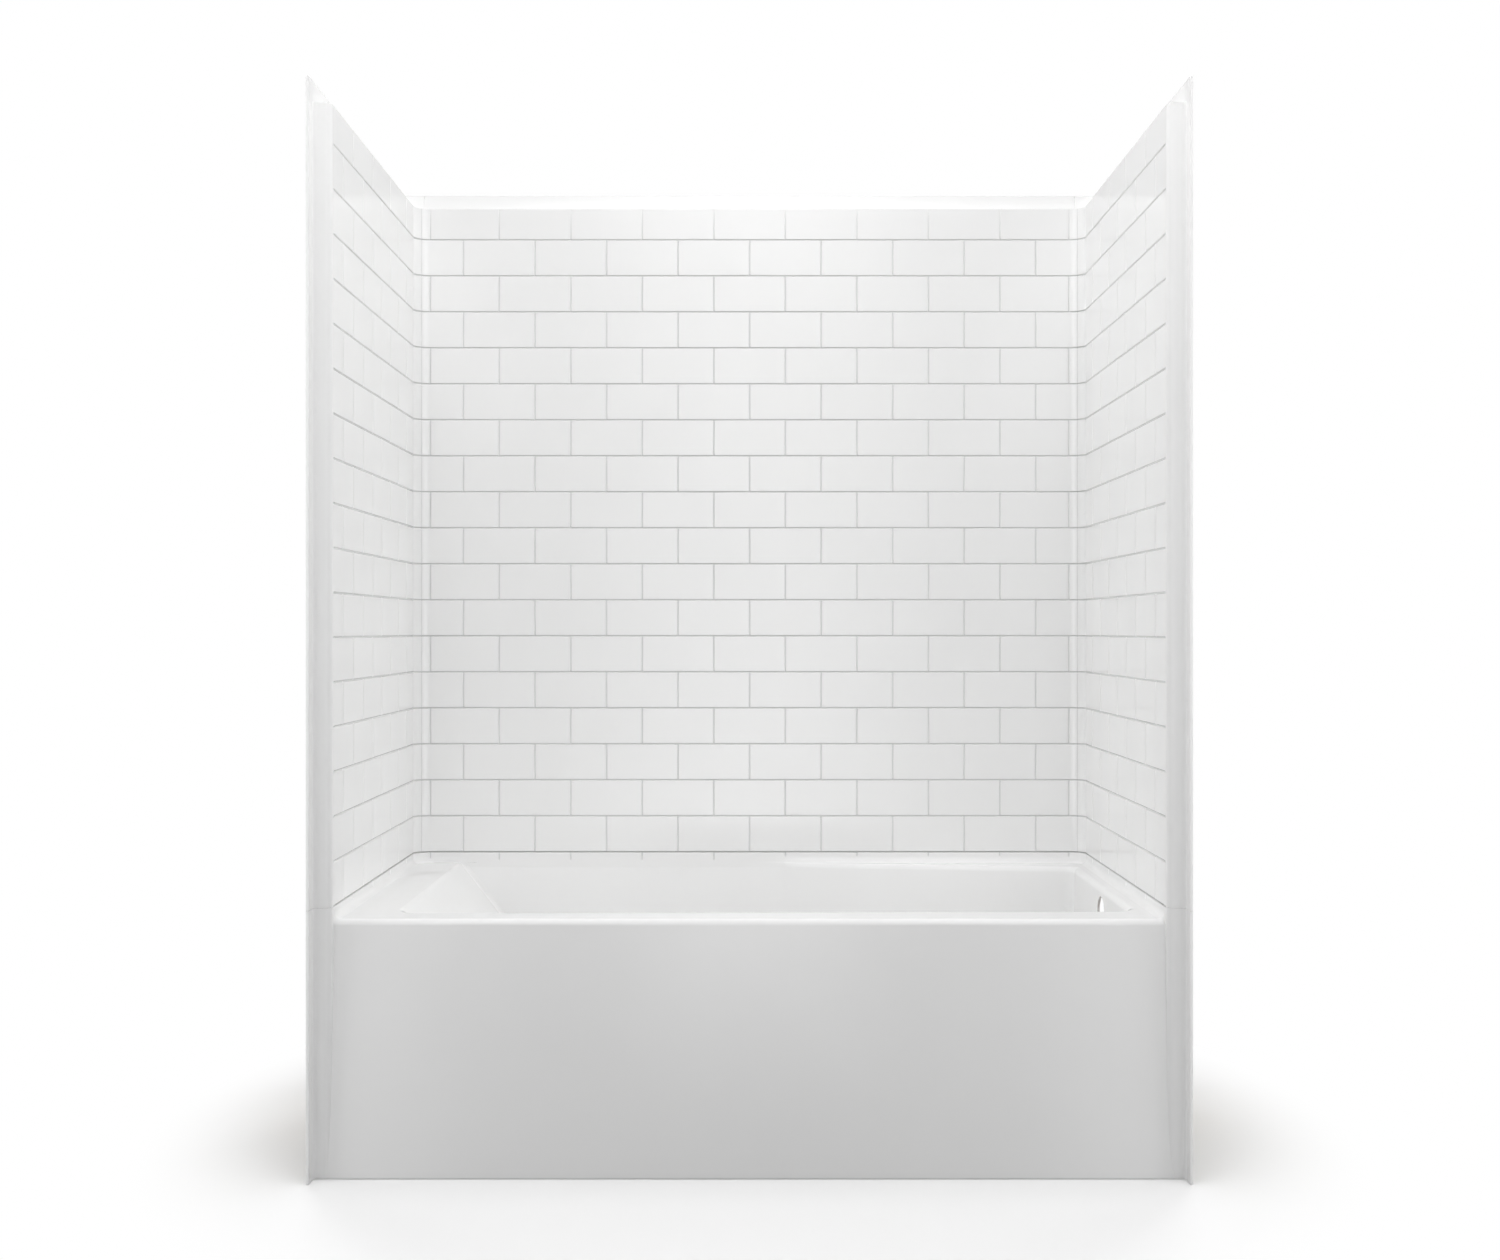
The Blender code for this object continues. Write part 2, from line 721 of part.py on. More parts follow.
def bath_moulding(place):
    stations = wall_stations()
    rims = rim_stations()
    rings = [well_ring(drop) for drop in well_drops()]
    rings = [deck_outer_ring(stations, rims), *rings, *drain_rings(rings[-1])]
    closed = [[*ring, ring[0]] for ring in rings]
    patches = [closed, rim_and_apron_rows(rims), upstand_rows(stations)]
    for side in (-1, 1):
        patches += [cove_over_rim_rows(side), column_rows(side)]
    made = sheet("bath_moulding", patches, BATHER, place)
    cutters = cutter_collection("bath_cutters")
    overflow = (WELL_RIGHT, DRAIN_Y, DECK_HEIGHT - OVERFLOW_DROP)
    through = 2 * (SHEET + OVERRUN)
    cylinder(
        "overflow_cutter", OVERFLOW_RADIUS, through, overflow, (1, 0, 0), OVERFLOW_SIDES, Place(cutters)
    )
    tick_cutters(cutters)
    joint_channels(cutters)
    joint_holes(cutters)
    cut(made, cutters)


# The joints between the mouldings


def joint_line(side):
    """Plan of a joint seal's channel: its two corners, for the back wall at side 0 or for a side wall."""
    near, far = CHANNEL_INSET, CHANNEL_INSET + CHANNEL_WIDTH
    if side == 0:
        reach = SIDE_FACE - REAR_ROUND
        return (-reach, BACK_FACE + near), (reach, BACK_FACE + far)
    edges = sorted((side * (SIDE_FACE + near), side * (SIDE_FACE + far)))
    return (edges[0], FRONT + JOINT_START), (edges[1], BACK_FACE - REAR_ROUND)


def joint_channels(cutters):
    for side in (-1, 0, 1):
        low, high = joint_line(side)
        bottom = TUB_TOP - CHANNEL_DEPTH
        box("joint_channel", (*low, bottom), (*high, TUB_TOP + OVERRUN), Place(cutters))


def joint_seals(place):
    for side, name in ((-1, "left_joint_seal"), (0, "back_joint_seal"), (1, "right_joint_seal")):
        (left, front), (right, back) = joint_line(side)
        low = (left + FIT, front + FIT, TUB_TOP - CHANNEL_DEPTH + FIT)
        box(name, low, (right - FIT, back - FIT, TUB_TOP), place)


def corner_channel(side):
    """A corner seal's channel in a side wall's return flange: its two corners in plan."""
    edges = sorted((side * (SEAM_X + FIT / 2), side * (SEAM_X + FIT / 2 + CHANNEL_DEPTH)))
    front = SEAM_Y + CHANNEL_INSET
    return (edges[0], front), (edges[1], front + CHANNEL_WIDTH)


def corner_seal_ends():
    return WALL_FOOT + JOINT_START, TILE_TOP - JOINT_START


def corner_seals(place):
    bottom, top = corner_seal_ends()
    for side, name in ((-1, "left_corner_seal"), (1, "right_corner_seal")):
        (left, front), (right, back) = corner_channel(side)
        seated = FIT if side == 1 else 0
        low = (left + FIT - seated, front + FIT, bottom + FIT)
        box(name, low, (right - seated, back - FIT, top - FIT), place)


def joint_screws_at():
    """Names and plan positions of the screws down through the joint flanges, into the ledge battens."""
    found = []
    line = BACK_FACE + SCREW_INSET
    for index in range(BACK_SCREWS):
        x = BACK_SCREW_SPACING * (index - (BACK_SCREWS - 1) / 2)
        found.append((f"back_joint_screw_{index + 1}", x, line))
    middle = (FRONT + JOINT_START + BACK_FACE - REAR_ROUND) / 2
    for side, name in ((-1, "left"), (1, "right")):
        for index in range(SIDE_SCREWS):
            y = middle + SIDE_SCREW_SPACING * (index - (SIDE_SCREWS - 1) / 2)
            found.append((f"{name}_joint_screw_{index + 1}", side * (SIDE_FACE + SCREW_INSET), y))
    return found


def corner_screw_heights():
    return spread(WALL_FOOT + CORNER_SCREW_END, TILE_TOP - CORNER_SCREW_END, CORNER_SCREWS - 1)


def joint_holes(cutters):
    """Holes for the upright screws, long enough for the flanges and for the battens below them."""
    length = 2 * (SCREW_LENGTH + FIT)
    for name, x, y in joint_screws_at():
        middle = (x, y, WALL_FOOT + SHEET + FIT)
        radius = SCREW_RADIUS + FIT
        cylinder(f"{name}_hole", radius, length, middle, (0, 0, 1), SCREW_SIDES, Place(cutters))


def corner_holes(cutters, sides):
    for side in sides:
        for height in corner_screw_heights():
            middle = (side * SEAM_X, SEAM_Y + SCREW_INSET, height)
            radius = SCREW_RADIUS + FIT
            length = 2 * (SHEET + FIT + OVERRUN)
            cylinder("corner_hole", radius, length, middle, (1, 0, 0), SCREW_SIDES, Place(cutters))


def screw(name, length, seat, axis, place):
    """A pan-head screw: its head's underside is at the seat, and its point is along the axis."""
    profile = (
        (0, -SCREW_HEAD_HEIGHT),
        (SCREW_HEAD_RADIUS * HEAD_CROWN_SHARE, -SCREW_HEAD_HEIGHT),
        (SCREW_HEAD_RADIUS, -SCREW_HEAD_HEIGHT * HEAD_CROWN_SHARE),
        (SCREW_HEAD_RADIUS, 0),
        (SCREW_RADIUS, 0),
        (SCREW_RADIUS, length - 2 * SCREW_RADIUS),
        (0, length),
    )
    mesh = bmesh.new()
    points = [mesh.verts.new((radius, 0, -down)) for radius, down in profile]
    for first, second in zip(points, points[1:]):
        mesh.edges.new((first, second))
    made = add_object(name, mesh, place)
    turned = made.modifiers.new("Turned", "SCREW")
    turned.steps = SCREW_SIDES
    turned.render_steps = SCREW_SIDES
    turned.use_merge_vertices = True
    turned.merge_threshold = WELD
    made.location = seat
    made.rotation_euler = (-Vector(axis)).to_track_quat("Z", "Y").to_euler()


def screws(place):
    for name, x, y in joint_screws_at():
        screw(name, SCREW_LENGTH, (x, y, WALL_FOOT + SHEET + FIT), (0, 0, -1), place)
    for side, name in ((-1, "left"), (1, "right")):
        for index, height in enumerate(corner_screw_heights()):
            seat = (side * (SEAM_X - FIT / 2 - SHEET - FIT), SEAM_Y + SCREW_INSET, height)
            screw(f"{name}_corner_screw_{index + 1}", CORNER_SCREW_LENGTH, seat, (side, 0, 0), place)


# The wall mouldings


def course_heights():
    """Heights of the level grooves above the joint with the bath."""
    count = int((TILE_TOP - SEAM_HEIGHT) / COURSE)
    return [SEAM_HEIGHT + COURSE * (step + 1) for step in range(count)]


def course_cutter(name, path, height, place):
    """A level groove along a path of face points, each with its way in."""
    mesh = bmesh.new()
    rings = []
    for face, inward in path:
        ring = []
        for corner in range(3):
            point, aside = groove_corner(face, inward, GROOVE_DEPTH, corner)
            ring.append(mesh.verts.new((point.x, point.y, height + aside)))
        rings.append(ring)
    for first, last in zip(rings, rings[1:]):
        for corner in range(3):
            following = (corner + 1) % 3
            mesh.faces.new((first[corner], first[following], last[following], last[corner]))
    mesh.faces.new(rings[0])
    mesh.faces.new(rings[-1])
    bmesh.ops.recalc_face_normals(mesh, faces=mesh.faces)
    add_object(name, mesh, place)


def corner_groove_path(side, turns):
    """Face points round a rear corner, each with its way in."""
    return [
        (arc_centre(side) + arc_direction(turn, side) * REAR_ROUND, -arc_direction(turn, side))
        for turn in turns
    ]


def past_seam(side, onward):
    """A groove's end a little past the seam: onward to the side wall at 1, or to the back wall at -1."""
    turn = SEAM_TURN + onward * OVERRUN / REAR_ROUND
    return corner_groove_path(side, [turn])


def wall_grooves(cutters, path, even, odd, inward):
    """Level grooves along the path, and upright grooves at the even and at the odd courses' places."""
    place = Place(cutters)
    heights = course_heights()
    for height in heights:
        course_cutter("course", path, height, place)
    lows = [SEAM_HEIGHT - OVERRUN, *heights]
    highs = [*heights, TILE_TOP + OVERRUN]
    for course, (low, high) in enumerate(zip(lows, highs)):
        for face in odd if course % 2 else even:
            upright_cutter("upright", face, inward, low, high, place)


def trim_cutters(cutters):
    """Blocks just outside the stud planes, which keep the flanges' backs flat at their corners."""
    place = Place(cutters)
    edge, back, out = WIDTH / 2 + WELD, DEPTH / 2 + WELD, OVERRUN
    box("trim_back", (-edge, back, 0), (edge, back + out, HEIGHT + out), place)
    for side in (-1, 1):
        left, right = sorted((side * edge, side * (edge + out)))
        box("trim_side", (left, FRONT - out, 0), (right, back, HEIGHT + out), place)


def tray_patches(path, foot, outer, joint_from):
    """A wall panel's patches: its face, its top ledge and flange, and its joint flange at the foot."""
    heights = (SEAM_HEIGHT + GROOVE_WIDTH / 2, TILE_TOP)
    face = [[(*point, WALL_FOOT) for point in foot]]
    face += [[(*point, height) for point in path] for height in heights]
    ledge = [[(*point, TILE_TOP) for point in line] for line in (path, outer)]
    flange = [[(*point, height) for point in outer] for height in (TILE_TOP, HEIGHT)]
    joint = [[(*point, WALL_FOOT) for point in line[joint_from:]] for line in (foot, outer)]
    return [face, ledge, flange, joint]


def back_wall_path(sunk):
    """Plan of the back wall's face from seam to seam, sunk below the face by a depth."""
    turns = spread(0.0, SEAM_TURN, BACK_ARC_STEPS)
    edge = SEAM_X - FIT / 2
    points = []
    for side, ordered in ((-1, reversed(turns)), (1, turns)):
        for turn in ordered:
            point = arc_centre(side) + arc_direction(turn, side) * (REAR_ROUND + sunk)
            if turn == SEAM_TURN:
                point = Vector((side * edge, SEAM_Y + sunk))
            points.append((point.x, point.y))
    return [(-edge, FLANGE_Y), *points, (edge, FLANGE_Y)]


def back_wall_moulding(place):
    path = back_wall_path(0.0)
    foot = back_wall_path(GROOVE_DEPTH)
    outer = [(x, FLANGE_Y) for x, _ in path]
    patches = tray_patches(path, foot, outer, 0)
    made = sheet("back_wall_moulding", patches, BATHER, place)
    cutters = cutter_collection("back_wall_cutters")
    turns = spread(0.0, SEAM_TURN, BACK_ARC_STEPS)
    grooves = past_seam(-1, 1) + corner_groove_path(-1, reversed(turns))
    grooves += corner_groove_path(1, turns) + past_seam(1, 1)
    even, odd = ([Vector((x, BACK_FACE)) for x in upright_positions(kind)] for kind in (False, True))
    wall_grooves(cutters, grooves, even, odd, Vector((0, -1)))
    trim_cutters(cutters)
    joint_holes(cutters)
    corner_holes(cutters, (-1, 1))
    cut(made, cutters)


def side_wall_path(side, sunk):
    """Plan of a side wall: from its front flange, round the column, along the tiles and on to the seam."""
    column = [(point.x, point.y) for point in reversed(column_path(RIM_BACK, side))]
    column[-1] = (side * (SIDE_FACE + sunk), RIM_BACK)
    points = list(column)
    for turn in reversed(spread(SEAM_TURN, math.pi / 2, SIDE_ARC_STEPS)):
        point = arc_centre(side) + arc_direction(turn, side) * (REAR_ROUND + sunk)
        if turn == SEAM_TURN:
            point = Vector((side * (SEAM_X + FIT / 2), SEAM_Y + sunk))
        points.append((point.x, point.y))
    points.append((side * (SEAM_X + FIT / 2), FLANGE_Y))
    return points, len(column) - 1


def side_wall_outer(side, joint_from):
    """Plan of the nailing flange, in step with the side wall's path."""
    x = side * FLANGE_X
    seam = side * (SEAM_X + FIT / 2)
    points = [(x, FRONT)]
    points += [(x, y) for y in spread(COLUMN_FRONT - ROOT_FILLET, RIM_BACK, joint_from - 1)]
    points += [(x, y) for y in spread(BACK_FACE - REAR_ROUND, FLANGE_Y, SIDE_ARC_STEPS - 1)]
    return [*points, (seam, FLANGE_Y), (seam, FLANGE_Y)]


def side_wall_moulding(side, name, place):
    path, joint_from = side_wall_path(side, 0.0)
    foot, _ = side_wall_path(side, GROOVE_DEPTH)
    outer = side_wall_outer(side, joint_from)
    patches = tray_patches(path, foot, outer, joint_from)
    made = sheet(name, patches, BATHER, place)
    cutters = cutter_collection(f"{name}_cutters")
    turns = spread(SEAM_TURN, math.pi / 2, SIDE_ARC_STEPS)
    inward = Vector((-side, 0))
    grooves = past_seam(side, -1) + corner_groove_path(side, turns)
    grooves.append((Vector((side * SIDE_FACE, FIELD_FRONT)), inward))
    even, odd = ([Vector((side * SIDE_FACE, y)) for y in side_positions(kind)] for kind in (False, True))
    wall_grooves(cutters, grooves, even, odd, inward)
    trim_cutters(cutters)
    joint_holes(cutters)
    corner_holes(cutters, (side,))
    low, high = corner_channel(side)
    bottom, top = corner_seal_ends()
    if side == 1:
        low = (low[0] - OVERRUN, low[1])
    else:
        high = (high[0] + OVERRUN, high[1])
    box("corner_channel", (*low, bottom), (*high, top), Place(cutters))
    cut(made, cutters)


# Timber behind the mouldings


def ledge_battens(place):
    """Battens under the joint flanges, which the joint screws bite."""
    top = TUB_TOP - SHEET - FIT
    low = top - LEDGE_BATTEN_HEIGHT
    reach = SIDE_FACE - REAR_ROUND
    cutters = cutter_collection("batten_cutters")
    joint_holes(cutters)
    made = [box("back_ledge_batten", (-reach, BACK_BACKING, low), (reach, DEPTH / 2, top), place)]
    ends = RIM_BACK + BATTEN_END_GAP, BACK_FACE - REAR_ROUND
    for side, name in ((-1, "left_ledge_batten"), (1, "right_ledge_batten")):
        left, right = sorted((side * SIDE_BACKING, side * WIDTH / 2))
        made.append(box(name, (left, ends[0], low), (right, ends[1], top), place))
    for batten in made:
        cut(batten, cutters)


def legs(place):
    """Legs from the floor up to the ledge battens."""
    top = TUB_TOP - SHEET - LEDGE_BATTEN_HEIGHT - 2 * FIT
    reach = SIDE_FACE - REAR_ROUND - LEG_WIDTH / 2
    for share, name in ((-1, "rear_leg_left"), (0, "rear_leg_middle"), (1, "rear_leg_right")):
        left = share * reach - LEG_WIDTH / 2
        box(name, (left, BACK_BACKING, 0), (left + LEG_WIDTH, DEPTH / 2, top), place)
    front = DRAIN_Y - LEG_WIDTH / 2
    for side, name in ((-1, "end_leg_left"), (1, "end_leg_right")):
        left, right = sorted((side * SIDE_BACKING, side * WIDTH / 2))
        box(name, (left, front, 0), (right, front + LEG_WIDTH, top), place)


def deck_timber(place):
    """Boards under the end decks and a batten under the front deck."""
    top = DECK_HEIGHT - SHEET - FIT
    front, back = RIM_BACK + BATTEN_END_GAP, BACK_FACE - REAR_ROUND
    well = well_ring(0.0)
    left = min(x for x, _, _ in well) - BATTEN_END_GAP / 2
    right = WELL_RIGHT + WELL_ROLL + FIT
    low = top - BOARD
    box("left_deck_board", (-SIDE_FACE, front, low), (left, back, top), place)
    box("right_deck_board", (right, front, low), (SIDE_FACE + SHEET, back, top), place)
    low = (WELL_LEFT, RIM_BACK + RIM_BATTEN_SETBACK, top - RIM_BATTEN_HEIGHT)
    high = (WELL_RIGHT, low[1] + RIM_BATTEN_DEPTH, top)
    box("front_rim_batten", low, high, place)


def apron_back(height):
    """Where the back of the apron is at a height."""
    face = COLUMN_FRONT + APRON_FOOT_SETBACK + (height - APRON_FOOT_HEIGHT) * math.tan(APRON_LEAN)
    return face + SHEET / math.cos(APRON_LEAN)


def apron_timber(place):
    """The foot rail along the floor and the upright stiffeners behind the apron."""
    front = apron_back(RAIL_HEIGHT) + RAIL_SETBACK
    reach = SIDE_FACE - BATTEN_END_GAP
    box("apron_foot_rail", (-reach, front, 0), (reach, front + RAIL_DEPTH, RAIL_HEIGHT), place)
    low = RAIL_HEIGHT + BATTEN_END_GAP
    high = DECK_HEIGHT - SHEET - RIM_BATTEN_HEIGHT - BATTEN_END_GAP
    middle = (low + high) / 2
    out = apron_back(middle) + (STIFFENER_DEPTH / 2 + FIT) / math.cos(APRON_LEAN)
    size = Vector((STIFFENER_WIDTH, STIFFENER_DEPTH, high - low))
    for step, name in ((-1, "left"), (0, "middle"), (1, "right")):
        made = box(f"apron_stiffener_{name}", -size / 2, size / 2, place)
        made.location = (step * STIFFENER_SPACING, out, middle)
        made.rotation_euler = (-APRON_LEAN, 0, 0)


def floor_timber(place):
    """The board bonded under the well's floor, and the bearers that carry it."""
    tilt = math.atan(FLOOR_FALL)
    start = WELL_LEFT + wall_inset(WELL_DEPTH, BACKREST_ANGLE, BACKREST_FILLET)
    end = DRAIN_X - DRAIN_RECESS_RADIUS - FLOOR_BOARD_CLEARANCE
    middle = (start + end) / 2
    y = (well_front(end, WELL_DEPTH) + well_rear(end, WELL_DEPTH)) / 2
    size = Vector(((end - start) / math.cos(tilt), FLOOR_BOARD_WIDTH, BOARD))
    made = box("basin_floor_board", -size / 2, size / 2, place)
    drop = (SHEET + BOARD / 2) / math.cos(tilt) + FIT
    made.location = (middle, y, floor_top(middle) - drop)
    made.rotation_euler = (0, tilt, 0)
    for x, name in ((start + BEARER_INSET, "left"), (middle, "middle"), (end - BEARER_INSET, "right")):
        left, right = x - BEARER_WIDTH / 2, x + BEARER_WIDTH / 2
        top = floor_top(right) - (SHEET + BOARD) / math.cos(tilt) - 2 * FIT
        low = (left, y - FLOOR_BOARD_WIDTH / 2, 0)
        box(f"floor_bearer_{name}", low, (right, y + FLOOR_BOARD_WIDTH / 2, top), place)


def backrest_point(drop):
    x = WELL_LEFT + wall_inset(drop, BACKREST_ANGLE, BACKREST_FILLET)
    return Vector((x, 0, DECK_HEIGHT - drop + floor_lift(x, drop)))


def backrest_timber(place):
    """The board bonded behind the sloping backrest."""
    drop = WELL_DEPTH / 2
    reach = BACKREST_BOARD_LENGTH / 2 * math.sin(BACKREST_ANGLE)
    upper, lower = backrest_point(drop - reach), backrest_point(drop + reach)
    down = (lower - upper).normalized()
    behind = Vector((down.z, 0, -down.x))
    tilt = math.atan2(-down.z, down.x)
    face = (upper + lower) / 2
    size = Vector((BACKREST_BOARD_LENGTH, BACKREST_BOARD_WIDTH, BOARD))
    made = box("backrest_board", -size / 2, size / 2, place)
    y = (well_front(face.x, drop) + well_rear(face.x, drop)) / 2
    made.location = face + behind * (SHEET + 2 * FIT + BOARD / 2) + Vector((0, y, 0))
    made.rotation_euler = (0, tilt, 0)


def valve_board_foot():
    """The valve board's lower edge, with the middle batten above it and the low batten below."""
    lowest = SEAM_HEIGHT + LOW_BATTEN_RISE + BATTEN_WIDTH
    held = VALVE_BOARD_HEIGHT + MIDDLE_BATTEN_GAP + BATTEN_WIDTH
    return between(lowest, TILE_TOP - HIGH_BATTEN_DROP - held, VALVE_BOARD_SHARE)


def wall_battens(place):
    """Level battens on the backs of the three walls, out to the stud line."""
    levels = (
        ("low", SEAM_HEIGHT + LOW_BATTEN_RISE),
        ("middle", valve_board_foot() + VALVE_BOARD_HEIGHT + MIDDLE_BATTEN_GAP),
        ("high", TILE_TOP - HIGH_BATTEN_DROP),
    )
    reach = SEAM_X - SHEET - BATTEN_END_GAP
    ends = RIM_BACK + BATTEN_END_GAP, BACK_FACE - REAR_ROUND
    for name, low in levels:
        high = low + BATTEN_WIDTH
        box(f"back_wall_batten_{name}", (-reach, BACK_BACKING, low), (reach, DEPTH / 2, high), place)
        for side, wall in ((-1, "left"), (1, "right")):
            left, right = sorted((side * SIDE_BACKING, side * WIDTH / 2))
            box(f"{wall}_wall_batten_{name}", (left, ends[0], low), (right, ends[1], high), place)


def wall_boards(place):
    """The board behind the back wall for a grab rail, and the valve board behind the drain-end wall."""
    reach = SEAM_X - SHEET - BATTEN_END_GAP
    low = SEAM_HEIGHT + GRAB_BOARD_RISE - GRAB_BOARD_HEIGHT / 2
    high = low + GRAB_BOARD_HEIGHT
    box("grab_rail_board", (-reach, BACK_BACKING, low), (reach, BACK_BACKING + BOARD, high), place)
    low = (SIDE_BACKING, DRAIN_Y - VALVE_BOARD_WIDTH / 2, valve_board_foot())
    high = (SIDE_BACKING + BOARD, low[1] + VALVE_BOARD_WIDTH, low[2] + VALVE_BOARD_HEIGHT)
    box("valve_board", low, high, place)


def shade_round(parts):
    """Shades curved faces smooth and keeps real edges sharp."""
    for item in parts.objects:
        item.data.shade_smooth()
        item.data.set_sharp_from_angle(angle=SHARP_FROM)


def clear_scene():
    for item in list(bpy.data.objects):
        bpy.data.objects.remove(item, do_unlink=True)


def main():
    clear_scene()
    parts = new_collection("tub_shower_unit")
    cutters = new_collection("cutters")
    cutters.hide_render = True
    white = Place(parts, new_material("gloss white moulding", WHITE, GLOSS_ROUGHNESS))
    foam = Place(parts, new_material("grey foam seal", FOAM_GREY, MATT_ROUGHNESS))
    timber = Place(parts, new_material("softwood timber", SOFTWOOD, MATT_ROUGHNESS))
    steel = Place(parts, new_material("plated steel", ZINC, ZINC_ROUGHNESS, metallic=1))
    bath_moulding(white)
    back_wall_moulding(white)
    side_wall_moulding(-1, "left_wall_moulding", white)
    side_wall_moulding(1, "right_wall_moulding", white)
    joint_seals(foam)
    corner_seals(foam)
    screws(steel)
    ledge_battens(timber)
    legs(timber)
    deck_timber(timber)
    apron_timber(timber)
    floor_timber(timber)
    backrest_timber(timber)
    wall_battens(timber)
    wall_boards(timber)
    shade_round(parts)


main()
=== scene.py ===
"""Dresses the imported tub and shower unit: glossy mouldings, foam seals, zinc screws and a pine frame."""

import logging
import math
from collections.abc import Callable, Iterable
from dataclasses import dataclass, field
from enum import Enum
from typing import ClassVar

import bpy
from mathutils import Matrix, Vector


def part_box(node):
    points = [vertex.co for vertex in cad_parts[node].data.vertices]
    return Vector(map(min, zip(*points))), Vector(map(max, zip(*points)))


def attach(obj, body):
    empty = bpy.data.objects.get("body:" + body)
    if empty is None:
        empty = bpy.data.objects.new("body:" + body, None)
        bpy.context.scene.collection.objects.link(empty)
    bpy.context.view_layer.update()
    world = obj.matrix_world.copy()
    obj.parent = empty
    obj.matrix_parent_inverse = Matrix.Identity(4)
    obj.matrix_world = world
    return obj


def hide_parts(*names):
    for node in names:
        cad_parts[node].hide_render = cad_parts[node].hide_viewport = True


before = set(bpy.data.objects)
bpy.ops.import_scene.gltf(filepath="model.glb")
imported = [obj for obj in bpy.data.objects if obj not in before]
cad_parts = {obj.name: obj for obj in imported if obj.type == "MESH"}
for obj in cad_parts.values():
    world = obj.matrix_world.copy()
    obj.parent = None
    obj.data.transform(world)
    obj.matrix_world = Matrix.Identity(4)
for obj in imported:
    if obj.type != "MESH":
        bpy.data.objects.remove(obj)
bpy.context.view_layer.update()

LOG = logging.getLogger("unit")

WELD = 0.00001  # how near two points of a mesh are when they are one, in metres

Point = tuple[float, float, float]
Rows = list[list[Point]]
Plan = list[tuple[float, float]]
Piece = bpy.types.Object
Tree = bpy.types.NodeTree
Socket = bpy.types.NodeSocket
Specks = tuple[float, float]  # specks to the metre, about, and how fine their finer parts go
Feed = float | tuple[float, ...] | Socket  # what a node's input holds or reads


class Side(Enum):
    """The two ends of the unit, as the sign of X."""

    LEFT = -1
    RIGHT = 1

    @property
    def word(self) -> str:
        """The end's name in lower case."""
        return self.name.lower()


class Grain(Enum):
    """The way that a board's grain runs, as the turn that lays a pattern's Z along it."""

    ALONG_X = (0.0, math.pi / 2, 0.0)
    ALONG_Y = (math.pi / 2, 0.0, 0.0)
    ALONG_Z = (0.0, 0.0, 0.0)


def between(start: float, end: float, share: float) -> float:
    """The value at a share of the way from start to end."""
    return start + (end - start) * share


def spread(start: float, end: float, steps: int) -> list[float]:
    """The steps + 1 values from start to end, both included."""
    return [between(start, end, step / steps) for step in range(steps + 1)]


def shares_of(values: list[float]) -> list[float]:
    """Each value's share of the way from the first to the last."""
    first, last = values[0], values[-1]
    return [(value - first) / (last - first) for value in values]


def smooth_step(start: float, end: float, value: float) -> float:
    """A soft rise from 0 at start to 1 at end."""
    share = min(1.0, max(0.0, (value - start) / (end - start)))
    return share * share * (3 - 2 * share)


def pick(*chosen: Piece) -> None:
    """Selects these objects alone, and makes the first one active.

    Args:
        chosen: the pieces.
    """
    bpy.ops.object.select_all(action="DESELECT")
    for item in chosen:
        item.select_set(True)
    bpy.context.view_layer.objects.active = chosen[0]


def apply_modifier(made: Piece, kind: str, **settings: object) -> None:
    """Adds a modifier to an object and applies it.

    Args:
        made: the object.
        kind: the modifier's type.
        settings: the modifier's own settings by name.
    """
    pick(made)
    modifier = made.modifiers.new(kind.title(), kind)
    for name, value in settings.items():
        setattr(modifier, name, value)
    bpy.ops.object.modifier_apply(modifier=modifier.name)


def add_node(
    tree: Tree, kind: str, feeds: dict[str | int, Feed] | None = None, **choices: object
) -> bpy.types.Node:
    """Adds a node to a material, a group or the world.

    Args:
        tree: the nodes that it joins.
        kind: its type.
        feeds: for each input, its value or the socket that it reads.
        choices: the node's own choices by name.

    Returns:
        The node.
    """
    made = tree.nodes.new(kind)
    for name, choice in choices.items():
        setattr(made, name, choice)
    for place, given in (feeds or {}).items():
        if isinstance(given, Socket):
            tree.links.new(given, made.inputs[place])
        else:
            made.inputs[place].default_value = given
    return made


def calculate(tree: Tree, operation: str, *values: Feed) -> Socket:
    """The result of one step of arithmetic in some nodes, each value a socket or a plain number."""
    return add_node(tree, "ShaderNodeMath", dict(enumerate(values)), operation=operation).outputs["Value"]


def mix_colours(tree: Tree, first: Feed, second: Feed, mask: Socket) -> Socket:
    """A colour that goes from the first to the second as a mask goes from 0 to 1."""
    made = add_node(tree, "ShaderNodeMix", {"Factor": mask, "A": first, "B": second}, data_type="RGBA")
    return made.outputs["Result"]


